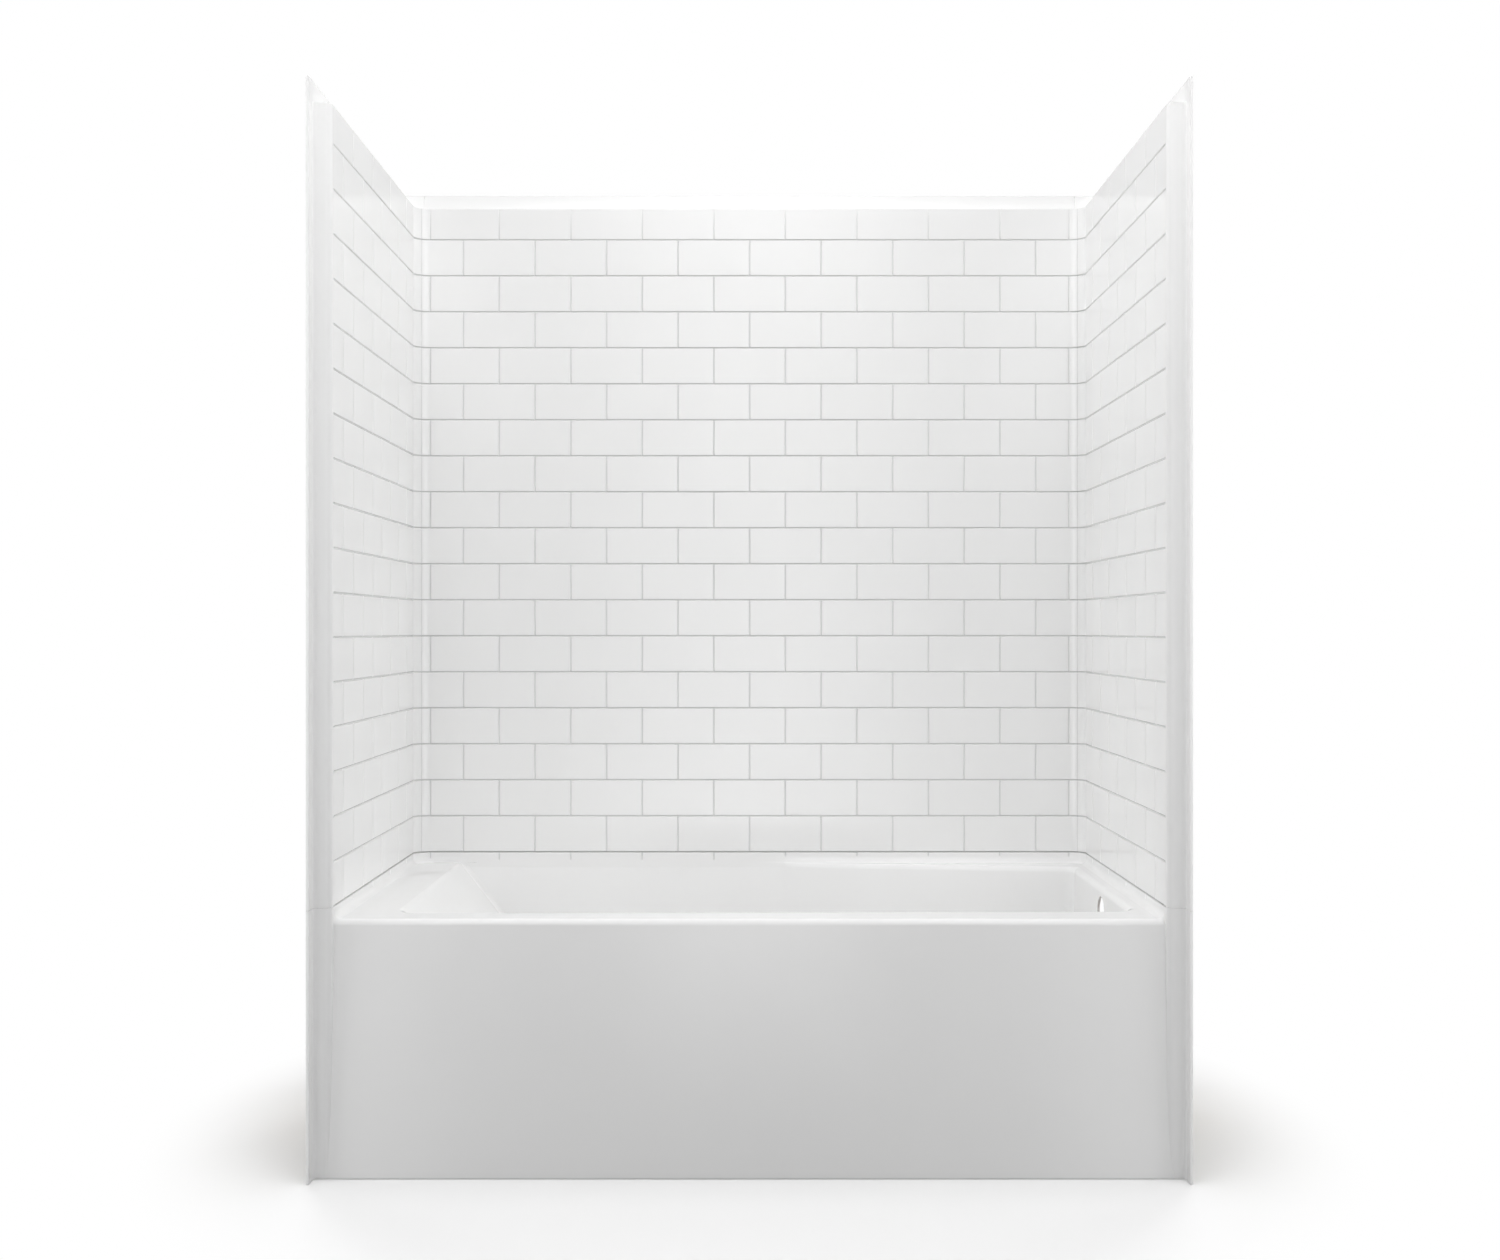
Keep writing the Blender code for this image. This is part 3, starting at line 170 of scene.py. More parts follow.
@dataclass(frozen=True)
class Envelope:
    """The unit's shared sizes, in metres, and the places that follow from them."""

    width: float = 1.524
    depth: float = 0.7938
    height: float = 1.905
    sheet: float = 0.005
    fit: float = 0.0003
    standoff: float = 0.0308
    top_flange: float = 0.0365
    front_flange: float = 0.0296
    root_fillet: float = 0.007
    column_round: float = 0.012
    rear_round: float = 0.029
    seam_turn: float = math.radians(33)
    deck_height: float = 0.4467
    upstand: float = 0.023
    cove: float = 0.012
    rim_round: float = 0.011
    apron_top_setback: float = 0.0204
    field_setback: float = 0.0184
    column_steps: int = 12
    flat_steps: int = 6
    root_steps: int = 6

    @property
    def front(self) -> float:
        """The flanges' front edge."""
        return -self.depth / 2

    @property
    def side_face(self) -> float:
        """How far the tiles of a side wall lie from the middle."""
        return self.width / 2 - self.sheet - self.standoff

    @property
    def back_face(self) -> float:
        """Where the tiles of the back wall lie."""
        return self.depth / 2 - self.sheet - self.standoff

    @property
    def flange_x(self) -> float:
        """How far a side flange's inner face lies from the middle."""
        return self.width / 2 - self.sheet

    @property
    def flange_y(self) -> float:
        """Where the back flange's inner face lies."""
        return self.depth / 2 - self.sheet

    @property
    def tile_top(self) -> float:
        """The height where the tiles end."""
        return self.height - self.top_flange

    @property
    def seam_height(self) -> float:
        """The joint between the bath and the walls."""
        return self.deck_height + self.upstand

    @property
    def tub_top(self) -> float:
        """The top of the bath's joint flange."""
        return self.seam_height - self.fit / 2

    @property
    def wall_foot(self) -> float:
        """The underside of the walls' joint flanges."""
        return self.seam_height + self.fit / 2

    @property
    def column_front(self) -> float:
        """The front faces of the columns."""
        return self.front + self.front_flange

    @property
    def field_front(self) -> float:
        """Where the tiles of a side wall start behind the column."""
        return self.column_front + self.field_setback

    @property
    def rim_back(self) -> float:
        """The line where the front rim starts to roll over."""
        return self.column_front + self.apron_top_setback + self.rim_round

    @property
    def seam_x(self) -> float:
        """How far a corner seam lies from the middle."""
        return self.side_face - self.rear_round * (1 - math.sin(self.seam_turn))

    @property
    def seam_y(self) -> float:
        """Where a corner seam lies, front to back."""
        return self.back_face - self.rear_round * (1 - math.cos(self.seam_turn))

    @property
    def bather(self) -> Vector:
        """A point in the shower's space, which every seen face looks at."""
        return Vector((0, 0, (self.seam_height + self.tile_top) / 2))

    def arc_centre(self, side: int) -> Vector:
        """The middle of a rear corner's round, in plan."""
        return Vector((side * (self.side_face - self.rear_round), self.back_face - self.rear_round))

    def arc_point(self, turn: float, side: int) -> Vector:
        """A point of a rear corner's round, from the back wall at 0 to the side wall."""
        return self.arc_centre(side) + Vector((side * math.sin(turn), math.cos(turn))) * self.rear_round

    def column_path(self, start: float, side: int) -> list[Vector]:
        """The plan of a column, from a place on its side face round to the flange's front edge.

        Args:
            start: where the plan starts on the side face, or on the round in front of it.
            side: -1 for the left column and 1 for the right one.

        Returns:
            As many points for every start, from the back to the front.
        """
        round_start = self.column_front + self.column_round
        points = []
        if start >= round_start:
            flat = spread(start, round_start, self.flat_steps)[:-1]
            points += [Vector((side * self.side_face, y)) for y in flat]
            turns = spread(math.pi / 2, 0.0, self.column_steps)
        else:
            first = math.acos(1 - (start - self.column_front) / self.column_round)
            turns = spread(first, 0.0, self.column_steps + self.flat_steps)
        for turn in turns:
            x = self.side_face + self.column_round * (1 - math.sin(turn))
            points.append(Vector((side * x, self.column_front + self.column_round * (1 - math.cos(turn)))))
        for turn in spread(0.0, math.pi / 2, self.root_steps):
            x = self.flange_x - self.root_fillet * (1 - math.sin(turn))
            points.append(Vector((side * x, self.column_front - self.root_fillet * (1 - math.cos(turn)))))
        points.append(Vector((side * self.flange_x, self.front)))
        return points


@dataclass(frozen=True)
class TilePattern:
    """The moulded tiles: rounded grooves in half bond, sunk into the walls' face."""

    unit: Envelope = Envelope()
    course: float = 0.07832
    tile: float = 0.1557
    groove_width: float = 0.0046
    groove_depth: float = 0.0022
    groove_round: float = 1.2
    upright_share: float = 0.83
    first_side_upright: float = 0.0677
    corner_inset: float = 0.0024
    lines: int = 8
    near: float = 0.0002
    fade: float = 0.003
    tick_foot_left: float = 0.4492
    tick_foot_right: float = 0.4575
    tick_fade: float = 0.005

    def course_heights(self) -> list[float]:
        """Heights of the level grooves above the joint with the bath."""
        count = int((self.unit.tile_top - self.unit.seam_height) / self.course)
        return [self.unit.seam_height + self.course * (step + 1) for step in range(count)]

    def back_uprights(self, odd: bool) -> list[float]:
        """Places of the back wall's upright grooves in the even or odd courses, left to right.

        Args:
            odd: whether it is for the odd courses, counted from 0 above the joint with the bath.

        Returns:
            Their X.
        """
        end = self.unit.side_face - self.unit.rear_round
        if odd:
            reach = int(end / self.tile + 0.5)
            near = [self.tile * (step + 0.5) for step in range(reach)] + [end - self.corner_inset]
            return [-x for x in reversed(near)] + near
        near = [self.tile * step for step in range(1, int(end / self.tile) + 1)]
        return [-x for x in reversed(near)] + [0.0] + near

    def side_uprights(self, odd: bool) -> list[float]:
        """Places of a side wall's upright grooves in the even or odd courses, front to back.

        Args:
            odd: whether it is for the odd courses.

        Returns:
            Their Y.
        """
        first = self.unit.field_front + self.first_side_upright + (self.tile / 2 if odd else 0)
        count = int((self.unit.back_face - self.unit.rear_round - first) / self.tile) + 1
        return [first + self.tile * step for step in range(count)]

    def across(self, middle: float) -> list[float]:
        """The mesh lines across a groove."""
        half = self.groove_width / 2
        return spread(middle - half, middle + half, self.lines)

    def with_lines(self, values: Iterable[float], grooves: Iterable[float]) -> list[float]:
        """Values in rising order, with the mesh lines of some grooves among them.

        Args:
            values: the plain values, whose first and last stay.
            grooves: middles of the grooves.

        Returns:
            All of them in rising order, without plain values that crowd a groove.
        """
        plain = sorted(values)
        lines = [line for middle in grooves for line in self.across(middle)]
        lines = [line for line in lines if plain[0] < line < plain[-1]]
        clear = self.groove_width / self.lines
        kept = [v for v in plain[1:-1] if all(abs(v - line) > clear for line in lines)]
        return sorted([plain[0], plain[-1], *kept, *lines])

    def profile(self, off: float) -> float:
        """How deep a groove is at a distance from its middle, as a share of its full depth."""
        half = self.groove_width / 2
        return 0.0 if abs(off) >= half else math.cos(math.pi / 2 * off / half) ** self.groove_round

    def nearest(self, value: float, grooves: Iterable[float]) -> float:
        """The share of depth that the nearest of some grooves has at a value."""
        return max((self.profile(value - middle) for middle in grooves), default=0.0)

    def upright_share_at(self, along: float, height: float, on_back: bool) -> float:
        """The share of depth that the upright grooves have at a place of the face.

        Args:
            along: X on the back wall, or Y on a side wall.
            height: the place's height.
            on_back: whether the place is on the back wall.

        Returns:
            0 on the plain face, up to the upright grooves' own share.
        """
        course = math.floor((height - self.unit.seam_height) / self.course)
        odd = course % 2 == 1
        grooves = self.back_uprights(odd) if on_back else self.side_uprights(odd)
        share = self.nearest(along, grooves) * self.upright_share
        if course < 0:
            foot = self.tick_foot_right
            if on_back and along < 0:
                foot = self.tick_foot_left
            share *= smooth_step(foot, foot + self.tick_fade, height)
        return share

    def sink(self, point: Vector) -> Vector:
        """The way that a point of the plain face moves to lie in the carved face.

        Args:
            point: a point of the sheet, on its face or anywhere else.

        Returns:
            The move, which is nothing for a point that isn't on the tiles.
        """
        unit = self.unit
        half = self.groove_width / 2
        still = Vector((0, 0, 0))
        if not self.tick_foot_left <= point.z <= unit.tile_top - half:
            return still
        levels = [unit.seam_height, *self.course_heights()]
        level = self.nearest(point.z, levels)
        side = 1 if point.x > 0 else -1
        centre = unit.arc_centre(side)
        seam = abs(abs(point.x) - unit.seam_x) < unit.fit + self.near
        if abs(point.y - unit.back_face) < self.near and abs(point.x) <= abs(centre.x) + self.near:
            upright = self.upright_share_at(point.x, point.z, on_back=True)
            return Vector((0, self.groove_depth * self.both(level, upright), 0))
        if abs(abs(point.x) - unit.side_face) < self.near and point.y < centre.y + self.near:
            upright = self.upright_share_at(point.y, point.z, on_back=False)
            shown = smooth_step(unit.field_front, unit.field_front + self.fade, point.y)
            return Vector((side * self.groove_depth * self.both(level, upright) * shown, 0, 0))
        away = Vector((point.x, point.y)) - centre
        if point.y <= centre.y or abs(point.x) <= abs(centre.x):
            return still
        if not abs(away.length - unit.rear_round) < (self.fade / 2 if seam else self.near):
            return still
        depth = self.groove_depth * level
        if abs(point.x) <= unit.seam_x + unit.fit + self.near:
            return Vector((0, depth / max(math.cos(unit.seam_turn), away.y / away.length), 0))
        outward = away.normalized() * depth
        return Vector((outward.x, outward.y, 0))

    def both(self, level: float, upright: float) -> float:
        """The share of depth where a level and an upright groove run into each other."""
        return 1 - (1 - level) * (1 - upright)


@dataclass(frozen=True)
class Speckle:
    """A node group that gives soft cloudy variation, for every finish that needs it."""

    name: str = "soft_speckle"
    plain: tuple[tuple[str, float], ...] = (("Scale", 20.0), ("Detail", 3.0), ("Low", 0.0), ("High", 1.0))
    reach: tuple[float, float] = (0.3, 0.7)

    def tree(self) -> bpy.types.ShaderNodeTree:
        """The group, made once.

        Returns:
            A group with inputs Vector, Scale, Detail, Low and High, and outputs Value and Height.
        """
        if self.name in bpy.data.node_groups:
            return bpy.data.node_groups[self.name]
        made = bpy.data.node_groups.new(self.name, "ShaderNodeTree")
        made.interface.new_socket("Vector", in_out="INPUT", socket_type="NodeSocketVector")
        for name, value in self.plain:
            socket = made.interface.new_socket(name, in_out="INPUT", socket_type="NodeSocketFloat")
            socket.default_value = value
        for name in ("Value", "Height"):
            made.interface.new_socket(name, in_out="OUTPUT", socket_type="NodeSocketFloat")
        taken = add_node(made, "NodeGroupInput").outputs
        feeds = {name: taken[name] for name in ("Vector", "Scale", "Detail")}
        cloud = add_node(made, "ShaderNodeTexNoise", feeds).outputs["Fac"]
        feeds = {"Value": cloud, "To Min": taken["Low"], "To Max": taken["High"]}
        feeds |= {"From Min": self.reach[0], "From Max": self.reach[1]}
        value = add_node(made, "ShaderNodeMapRange", feeds).outputs["Result"]
        add_node(made, "NodeGroupOutput", {"Value": value, "Height": cloud})
        return made


@dataclass(frozen=True)
class Finish:
    """What every finish of the unit shares: its tones, its film of roughness and its relief in metres."""

    name: str
    colour: tuple[float, float, float]
    shade: tuple[float, float, float]
    roughness: tuple[float, float]
    film: Specks
    relief: float
    patches: Specks = (20.0, 3.0)
    ripples: Specks = (20.0, 3.0)
    metallic: float = 0.0
    grain: Grain = Grain.ALONG_Z
    stretch: Point = (1.0, 1.0, 1.0)

    def material(self) -> bpy.types.Material:
        """The finish as a material.

        Returns:
            The material, with all its patterns on the piece's own coordinates.
        """
        made = bpy.data.materials.new(self.name)
        made.use_nodes = True
        made.diffuse_color = (*self.colour, 1)
        tree = made.node_tree
        shader = tree.nodes["Principled BSDF"]
        shader.inputs["Metallic"].default_value = self.metallic
        place = self.place(tree)
        mask, height = self.pattern(tree, place)
        film = self.speckle(tree, place, self.film, self.roughness)
        feeds = {"Strength": 1.0, "Distance": self.relief, "Height": height}
        bump = add_node(tree, "ShaderNodeBump", feeds)
        tree.links.new(self.tint(tree, mask), shader.inputs["Base Color"])
        tree.links.new(film.outputs["Value"], shader.inputs["Roughness"])
        tree.links.new(bump.outputs["Normal"], shader.inputs["Normal"])
        return made

    def place(self, tree: Tree) -> Socket:
        """The pattern's own place on the piece.

        Args:
            tree: the material's nodes.

        Returns:
            The vector that the patterns read, turned along the grain and stretched.
        """
        where = add_node(tree, "ShaderNodeTexCoord").outputs["Object"]
        turned = add_node(tree, "ShaderNodeMapping", {"Vector": where, "Rotation": self.grain.value})
        feeds = {"Vector": turned.outputs["Vector"], "Scale": self.stretch}
        return add_node(tree, "ShaderNodeMapping", feeds).outputs["Vector"]

    def pattern(self, tree: Tree, place: Socket) -> tuple[Socket, Socket]:
        """The finish's own pattern, which is soft patches in the tone and ripples in the face.

        Args:
            tree: the material's nodes.
            place: the place that it reads.

        Returns:
            The mask between the finish's two tones, and the height of its relief.
        """
        patches = self.speckle(tree, place, self.patches)
        ripples = self.speckle(tree, place, self.ripples)
        return patches.outputs["Value"], ripples.outputs["Height"]

    def speckle(
        self, tree: Tree, place: Socket, specks: Specks, values: tuple[float, float] = (0.0, 1.0)
    ) -> bpy.types.Node:
        """One use of the shared speckle group.

        Args:
            tree: the material's nodes.
            place: the place that it reads.
            specks: how fine it is.
            values: the values that it runs between.

        Returns:
            The group's node.
        """
        feeds = dict(zip(("Scale", "Detail", "Low", "High"), (*specks, *values)), Vector=place)
        return add_node(tree, "ShaderNodeGroup", feeds, node_tree=Speckle().tree())

    def tint(self, tree: Tree, mask: Socket) -> Socket:
        """The finish's colour, which goes to its shade as a mask rises."""
        return mix_colours(tree, (*self.colour, 1), (*self.shade, 1), mask)


@dataclass(frozen=True)
class Gelcoat(Finish):
    """The very glossy white face of the mouldings, with the faint ripple of a moulded coat."""

    name: str = "gloss_white_moulding"
    colour: tuple[float, float, float] = (0.925, 0.925, 0.923)
    shade: tuple[float, float, float] = (0.912, 0.912, 0.910)
    # painted shade: the grooves are the same white coat, and this darker colour stands in for the shade
    # inside them
    groove: tuple[float, float, float] = (0.70, 0.70, 0.70)
    roughness: tuple[float, float] = (0.055, 0.095)
    film: Specks = (28.0, 4.0)
    relief: float = 0.00002
    patches: Specks = (6.0, 3.0)
    ripples: Specks = (45.0, 1.0)

    def tint(self, tree: Tree, mask: Socket) -> Socket:
        """The coat's colour, darkened by painted shade where the grooves between the tiles are sunk into
        the face.

        Args:
            tree: the material's nodes.
            mask: the soft patches in the tone.

        Returns:
            The colour's socket.
        """
        plain = mix_colours(tree, (*self.colour, 1), (*self.shade, 1), mask)
        # each point's depth share in a groove masks the painted groove shade
        sunk = add_node(tree, "ShaderNodeAttribute", attribute_name=Mould.sunk)
        return mix_colours(tree, plain, (*self.groove, 1), sunk.outputs["Fac"])


@dataclass(frozen=True)
class RawGlass(Finish):
    """The rough backs of the mouldings, where chopped glass strands lie in resin."""

    name: str = "raw_strand_back"
    colour: tuple[float, float, float] = (0.66, 0.66, 0.60)
    shade: tuple[float, float, float] = (0.50, 0.51, 0.45)
    roughness: tuple[float, float] = (0.42, 0.66)
    film: Specks = (40.0, 3.0)
    relief: float = 0.0006
    patches: Specks = (14.0, 2.0)
    curls: Specks = (60.0, 2.0)
    curl_reach: float = 0.02
    strands: float = 75.0
    strand_width: float = 0.09

    def pattern(self, tree: Tree, place: Socket) -> tuple[Socket, Socket]:
        """Curled strands, thicker in some places than in others.

        Args:
            tree: the material's nodes.
            place: the place that they read.

        Returns:
            The strands, as the mask and as the height.
        """
        patches = self.speckle(tree, place, self.patches)
        curls = self.speckle(tree, place, self.curls, (0.0, self.curl_reach)).outputs["Value"]
        moved = add_node(tree, "ShaderNodeCombineXYZ", {"X": curls, "Z": curls})
        feeds = {0: place, 1: moved.outputs["Vector"]}
        bent = add_node(tree, "ShaderNodeVectorMath", feeds, operation="ADD")
        feeds = {"Vector": bent.outputs["Vector"], "Scale": self.strands}
        edges = add_node(tree, "ShaderNodeTexVoronoi", feeds, feature="DISTANCE_TO_EDGE")
        feeds = {"Value": edges.outputs["Distance"], "From Max": self.strand_width}
        lines = add_node(tree, "ShaderNodeMapRange", feeds)
        strands = calculate(tree, "MULTIPLY", lines.outputs["Result"], patches.outputs["Value"])
        return strands, strands


@dataclass(frozen=True)
class Foam(Finish):
    """Closed-cell foam strip."""

    name: str = "foam_strip"
    colour: tuple[float, float, float] = (0.30, 0.30, 0.31)
    shade: tuple[float, float, float] = (0.22, 0.22, 0.23)
    roughness: tuple[float, float] = (0.78, 0.95)
    film: Specks = (300.0, 2.0)
    relief: float = 0.0003
    cells: float = 900.0

    def pattern(self, tree: Tree, place: Socket) -> tuple[Socket, Socket]:
        """Small round cells.

        Args:
            tree: the material's nodes.
            place: the place that they read.

        Returns:
            The cells, as the mask and as the height.
        """
        feeds = {"Vector": place, "Scale": self.cells}
        cells = add_node(tree, "ShaderNodeTexVoronoi", feeds).outputs["Distance"]
        return cells, cells


@dataclass(frozen=True)
class Zinc(Finish):
    """Zinc-plated screws, with a faint yellow cast in patches."""

    name: str = "zinc_plate"
    colour: tuple[float, float, float] = (0.72, 0.72, 0.70)
    shade: tuple[float, float, float] = (0.68, 0.64, 0.52)
    roughness: tuple[float, float] = (0.24, 0.42)
    film: Specks = (700.0, 3.0)
    relief: float = 0.00003
    patches: Specks = (260.0, 3.0)
    ripples: Specks = (700.0, 3.0)
    metallic: float = 1.0


@dataclass(frozen=True)
class Pine(Finish):
    """Sawn pine, whose grain runs along the board."""

    name: str = "sawn_pine"
    colour: tuple[float, float, float] = (0.66, 0.49, 0.30)
    shade: tuple[float, float, float] = (0.44, 0.28, 0.14)
    roughness: tuple[float, float] = (0.62, 0.82)
    film: Specks = (90.0, 3.0)
    relief: float = 0.00025
    grain: Grain = Grain.ALONG_X
    stretch: Point = (1.0, 1.0, 0.06)
    fibres: Specks = (420.0, 4.0)
    rings: tuple[tuple[str, float], ...] = (
        ("Scale", 18.0),
        ("Distortion", 9.0),
        ("Detail", 2.0),
        ("Detail Scale", 4.0),
    )

    def pattern(self, tree: Tree, place: Socket) -> tuple[Socket, Socket]:
        """Year rings, broken up by the fibres.

        Args:
            tree: the material's nodes.
            place: the place that they read.

        Returns:
            The mask of the rings and the height of the fibres.
        """
        feeds = dict(self.rings, Vector=place)
        rings = add_node(tree, "ShaderNodeTexWave", feeds, wave_type="RINGS", rings_direction="Z")
        fibres = self.speckle(tree, place, self.fibres)
        mask = calculate(tree, "MULTIPLY", rings.outputs["Fac"], fibres.outputs["Value"])
        return mask, fibres.outputs["Height"]


@dataclass
class Mould:
    """A moulded sheet: patches of points, thickened, its edges eased and its tiles carved."""

    name: str
    patches: list[Rows]
    pattern: TilePattern
    face: bpy.types.Material
    back: bpy.types.Material
    edge_ease: float = 0.0005
    sharp_from: float = math.radians(38)
    easing_steps: int = 2
    # name of each point's depth share in a groove, which masks the coat's painted groove shade
    sunk: ClassVar[str] = "sunk"

    def patch(self, rows: Rows) -> Piece:
        """One patch: a grid primitive whose points take the rows' places.

        Args:
            rows: the rows of points, all of one length.

        Returns:
            The patch.
        """
        bpy.ops.object.select_all(action="DESELECT")
        bpy.ops.mesh.primitive_grid_add(
            x_subdivisions=len(rows[0]) - 1, y_subdivisions=len(rows) - 1, size=1
        )
        made = bpy.context.object
        made.data.vertices.foreach_set("co", [value for row in rows for point in row for value in point])
        return made

    def joined(self) -> Piece:
        """All patches as one clean surface that looks at the bather.

        Returns:
            The surface, with its doubles merged.
        """
        parts = [self.patch(rows) for rows in self.patches]
        pick(*parts)
        bpy.ops.object.join()
        made = bpy.context.object
        made.name = made.data.name = self.name
        bpy.ops.object.mode_set(mode="EDIT")
        bpy.ops.mesh.select_all(action="SELECT")
        bpy.ops.mesh.remove_doubles(threshold=WELD)
        bpy.ops.mesh.dissolve_degenerate(threshold=WELD)
        bpy.ops.mesh.select_all(action="SELECT")
        bpy.ops.mesh.normals_make_consistent(inside=False)
        bpy.ops.object.mode_set(mode="OBJECT")
        seen = sum(
            face.area * face.normal.dot((self.pattern.unit.bather - face.center).normalized())
            for face in made.data.polygons
        )
        if seen < 0:
            made.data.flip_normals()
        return made

    def thicken(self, made: Piece) -> None:
        """Gives the sheet its thickness, with the raw back as its second material.

        Args:
            made: the surface.
        """
        made.data.materials.clear()
        made.data.materials.append(self.face)
        made.data.materials.append(self.back)
        apply_modifier(
            made,
            "SOLIDIFY",
            thickness=self.pattern.unit.sheet,
            offset=-1,
            use_even_offset=True,
            use_quality_normals=True,
            material_offset=1,
            material_offset_rim=0,
        )

    def ease(self, made: Piece) -> None:
        """Rounds every real edge a little, so that it catches the light.

        Args:
            made: the sheet.
        """
        apply_modifier(
            made,
            "BEVEL",
            width=self.edge_ease,
            segments=self.easing_steps,
            limit_method="ANGLE",
            angle_limit=self.sharp_from,
            use_clamp_overlap=False,
        )

    def carve(self, made: Piece) -> None:
        """Sinks the grooves between the tiles, keeps all inside the unit's box, and stores each point's
        depth share, which masks the painted groove shade.

        Args:
            made: the sheet.
        """
        unit = self.pattern.unit
        side, end = unit.width / 2, unit.depth / 2
        shares = made.data.attributes.new(self.sunk, "FLOAT", "POINT")
        for vertex, share in zip(made.data.vertices, shares.data):
            move = self.pattern.sink(vertex.co)
            share.value = min(1.0, move.length / self.pattern.groove_depth)
            place = vertex.co + move
            vertex.co = (
                min(side, max(-side, place.x)),
                min(end, max(-end, place.y)),
                min(unit.height, max(0.0, place.z)),
            )

    def bore(self, made: Piece, cutters: list[Piece]) -> None:
        """Cuts the joined cutters from the sheet, and deletes them.

        Args:
            made: the sheet.
            cutters: what is cut from it.
        """
        pick(*cutters)
        bpy.ops.object.join()
        cutter = bpy.context.object
        apply_modifier(made, "BOOLEAN", operation="DIFFERENCE", solver="EXACT", object=cutter)
        bpy.data.objects.remove(cutter)

    def build(self, node: str, cutters: Callable[[], list[Piece]]) -> None:
        """The finished moulding, which rides on the unit's one body.

        Args:
            node: the CAD node that it stands for.
            cutters: makes what is cut from it last.
        """
        made = self.joined()
        self.thicken(made)
        self.bore(made, cutters())
        self.ease(made)
        self.carve(made)
        pick(made)
        bpy.ops.object.shade_smooth_by_angle(angle=self.sharp_from)
        apply_modifier(made, "WEIGHTED_NORMAL", keep_sharp=True)
        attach(made, "root")
        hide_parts(node)
        LOG.info("%s: %d faces", self.name, len(made.data.polygons))


@dataclass
class Joints:
    """The joints between the mouldings: channels, screw places, and the cutters that they need."""

    unit: Envelope = Envelope()
    channel_inset: float = 0.0051
    channel_width: float = 0.012
    channel_depth: float = 0.002
    joint_start: float = 0.075
    screw_inset: float = 0.023
    screw_radius: float = 0.0024
    screw_length: float = 0.032
    corner_screw_length: float = 0.017
    back_screws: int = 4
    back_spacing: float = 0.400
    side_screws: int = 2
    side_spacing: float = 0.420
    corner_screws: int = 3
    corner_end: float = 0.13932
    overrun: float = 0.004
    sides: int = 12

    def box(self, low: Point, high: Point) -> Piece:
        """A box cutter between two corners.

        Args:
            low: the lowest corner.
            high: the highest corner.

        Returns:
            The cutter.
        """
        bpy.ops.object.select_all(action="DESELECT")
        middle = [(a + b) / 2 for a, b in zip(low, high)]
        bpy.ops.mesh.primitive_cube_add(size=1, location=middle, scale=[b - a for a, b in zip(low, high)])
        made = bpy.context.object
        bpy.ops.object.transform_apply(location=True, rotation=True, scale=True)
        return made

    def rod(self, middle: Point, axis: str, length: float, radius: float) -> Piece:
        """A round cutter along an axis.

        Args:
            middle: its middle.
            axis: X for a level rod or Z for an upright one.
            length: from end to end.
            radius: its radius.

        Returns:
            The cutter.
        """
        bpy.ops.object.select_all(action="DESELECT")
        turn = {"X": (0, math.pi / 2, 0), "Z": (0, 0, 0)}[axis]
        bpy.ops.mesh.primitive_cylinder_add(
            vertices=self.sides, radius=radius, depth=length, location=middle, rotation=turn
        )
        made = bpy.context.object
        bpy.ops.object.transform_apply(location=True, rotation=True, scale=True)
        return made

    def line(self, side: int) -> tuple[tuple[float, float], tuple[float, float]]:
        """A joint channel's two corners in plan, for the back wall at 0 or for a side wall.

        Args:
            side: -1, 0 or 1, for the left, back or right wall.

        Returns:
            The lowest and the highest corner.
        """
        unit = self.unit
        near, far = self.channel_inset, self.channel_inset + self.channel_width
        if side == 0:
            reach = unit.side_face - unit.rear_round
            return (-reach, unit.back_face + near), (reach, unit.back_face + far)
        edges = sorted((side * (unit.side_face + near), side * (unit.side_face + far)))
        return (edges[0], unit.front + self.joint_start), (edges[1], unit.back_face - unit.rear_round)

    def joint_places(self) -> list[tuple[str, float, float]]:
        """Names and plan places of the screws down through the joint flanges.

        Returns:
            For each screw its name, its X and its Y.
        """
        unit = self.unit
        found = []
        for index in range(self.back_screws):
            x = self.back_spacing * (index - (self.back_screws - 1) / 2)
            found.append((f"back_joint_screw_{index + 1}", x, unit.back_face + self.screw_inset))
        middle = (unit.front + self.joint_start + unit.back_face - unit.rear_round) / 2
        for side in Side:
            for index in range(self.side_screws):
                y = middle + self.side_spacing * (index - (self.side_screws - 1) / 2)
                x = side.value * (unit.side_face + self.screw_inset)
                found.append((f"{side.word}_joint_screw_{index + 1}", x, y))
        return found

    def corner_heights(self) -> list[float]:
        """Heights of the screws through a corner's return flanges."""
        low, high = self.unit.wall_foot + self.corner_end, self.unit.tile_top - self.corner_end
        return spread(low, high, self.corner_screws - 1)

    def joint_holes(self) -> list[Piece]:
        """Cutters for the upright screws.

        Returns:
            A rod for each screw.
        """
        length = 2 * (self.screw_length + self.unit.fit)
        height = self.unit.wall_foot + self.unit.sheet
        radius = self.screw_radius + self.unit.fit
        return [self.rod((x, y, height), "Z", length, radius) for _, x, y in self.joint_places()]

    def corner_holes(self, sides: Iterable[int]) -> list[Piece]:
        """Cutters for the level screws of some corners.

        Args:
            sides: the corners, -1 for the left one and 1 for the right one.

        Returns:
            A rod for each screw.
        """
        unit = self.unit
        length = 2 * (unit.sheet + unit.fit + self.overrun)
        radius = self.screw_radius + unit.fit
        return [
            self.rod((side * unit.seam_x, unit.seam_y + self.screw_inset, height), "X", length, radius)
            for side in sides
            for height in self.corner_heights()
        ]

    def joint_channels(self) -> list[Piece]:
        """Cutters for the seals' channels in the bath's joint flange.

        Returns:
            A box for each wall.
        """
        made = []
        for side in (-1, 0, 1):
            low, high = self.line(side)
            bottom = self.unit.tub_top - self.channel_depth
            made.append(self.box((*low, bottom), (*high, self.unit.tub_top + self.overrun)))
        return made

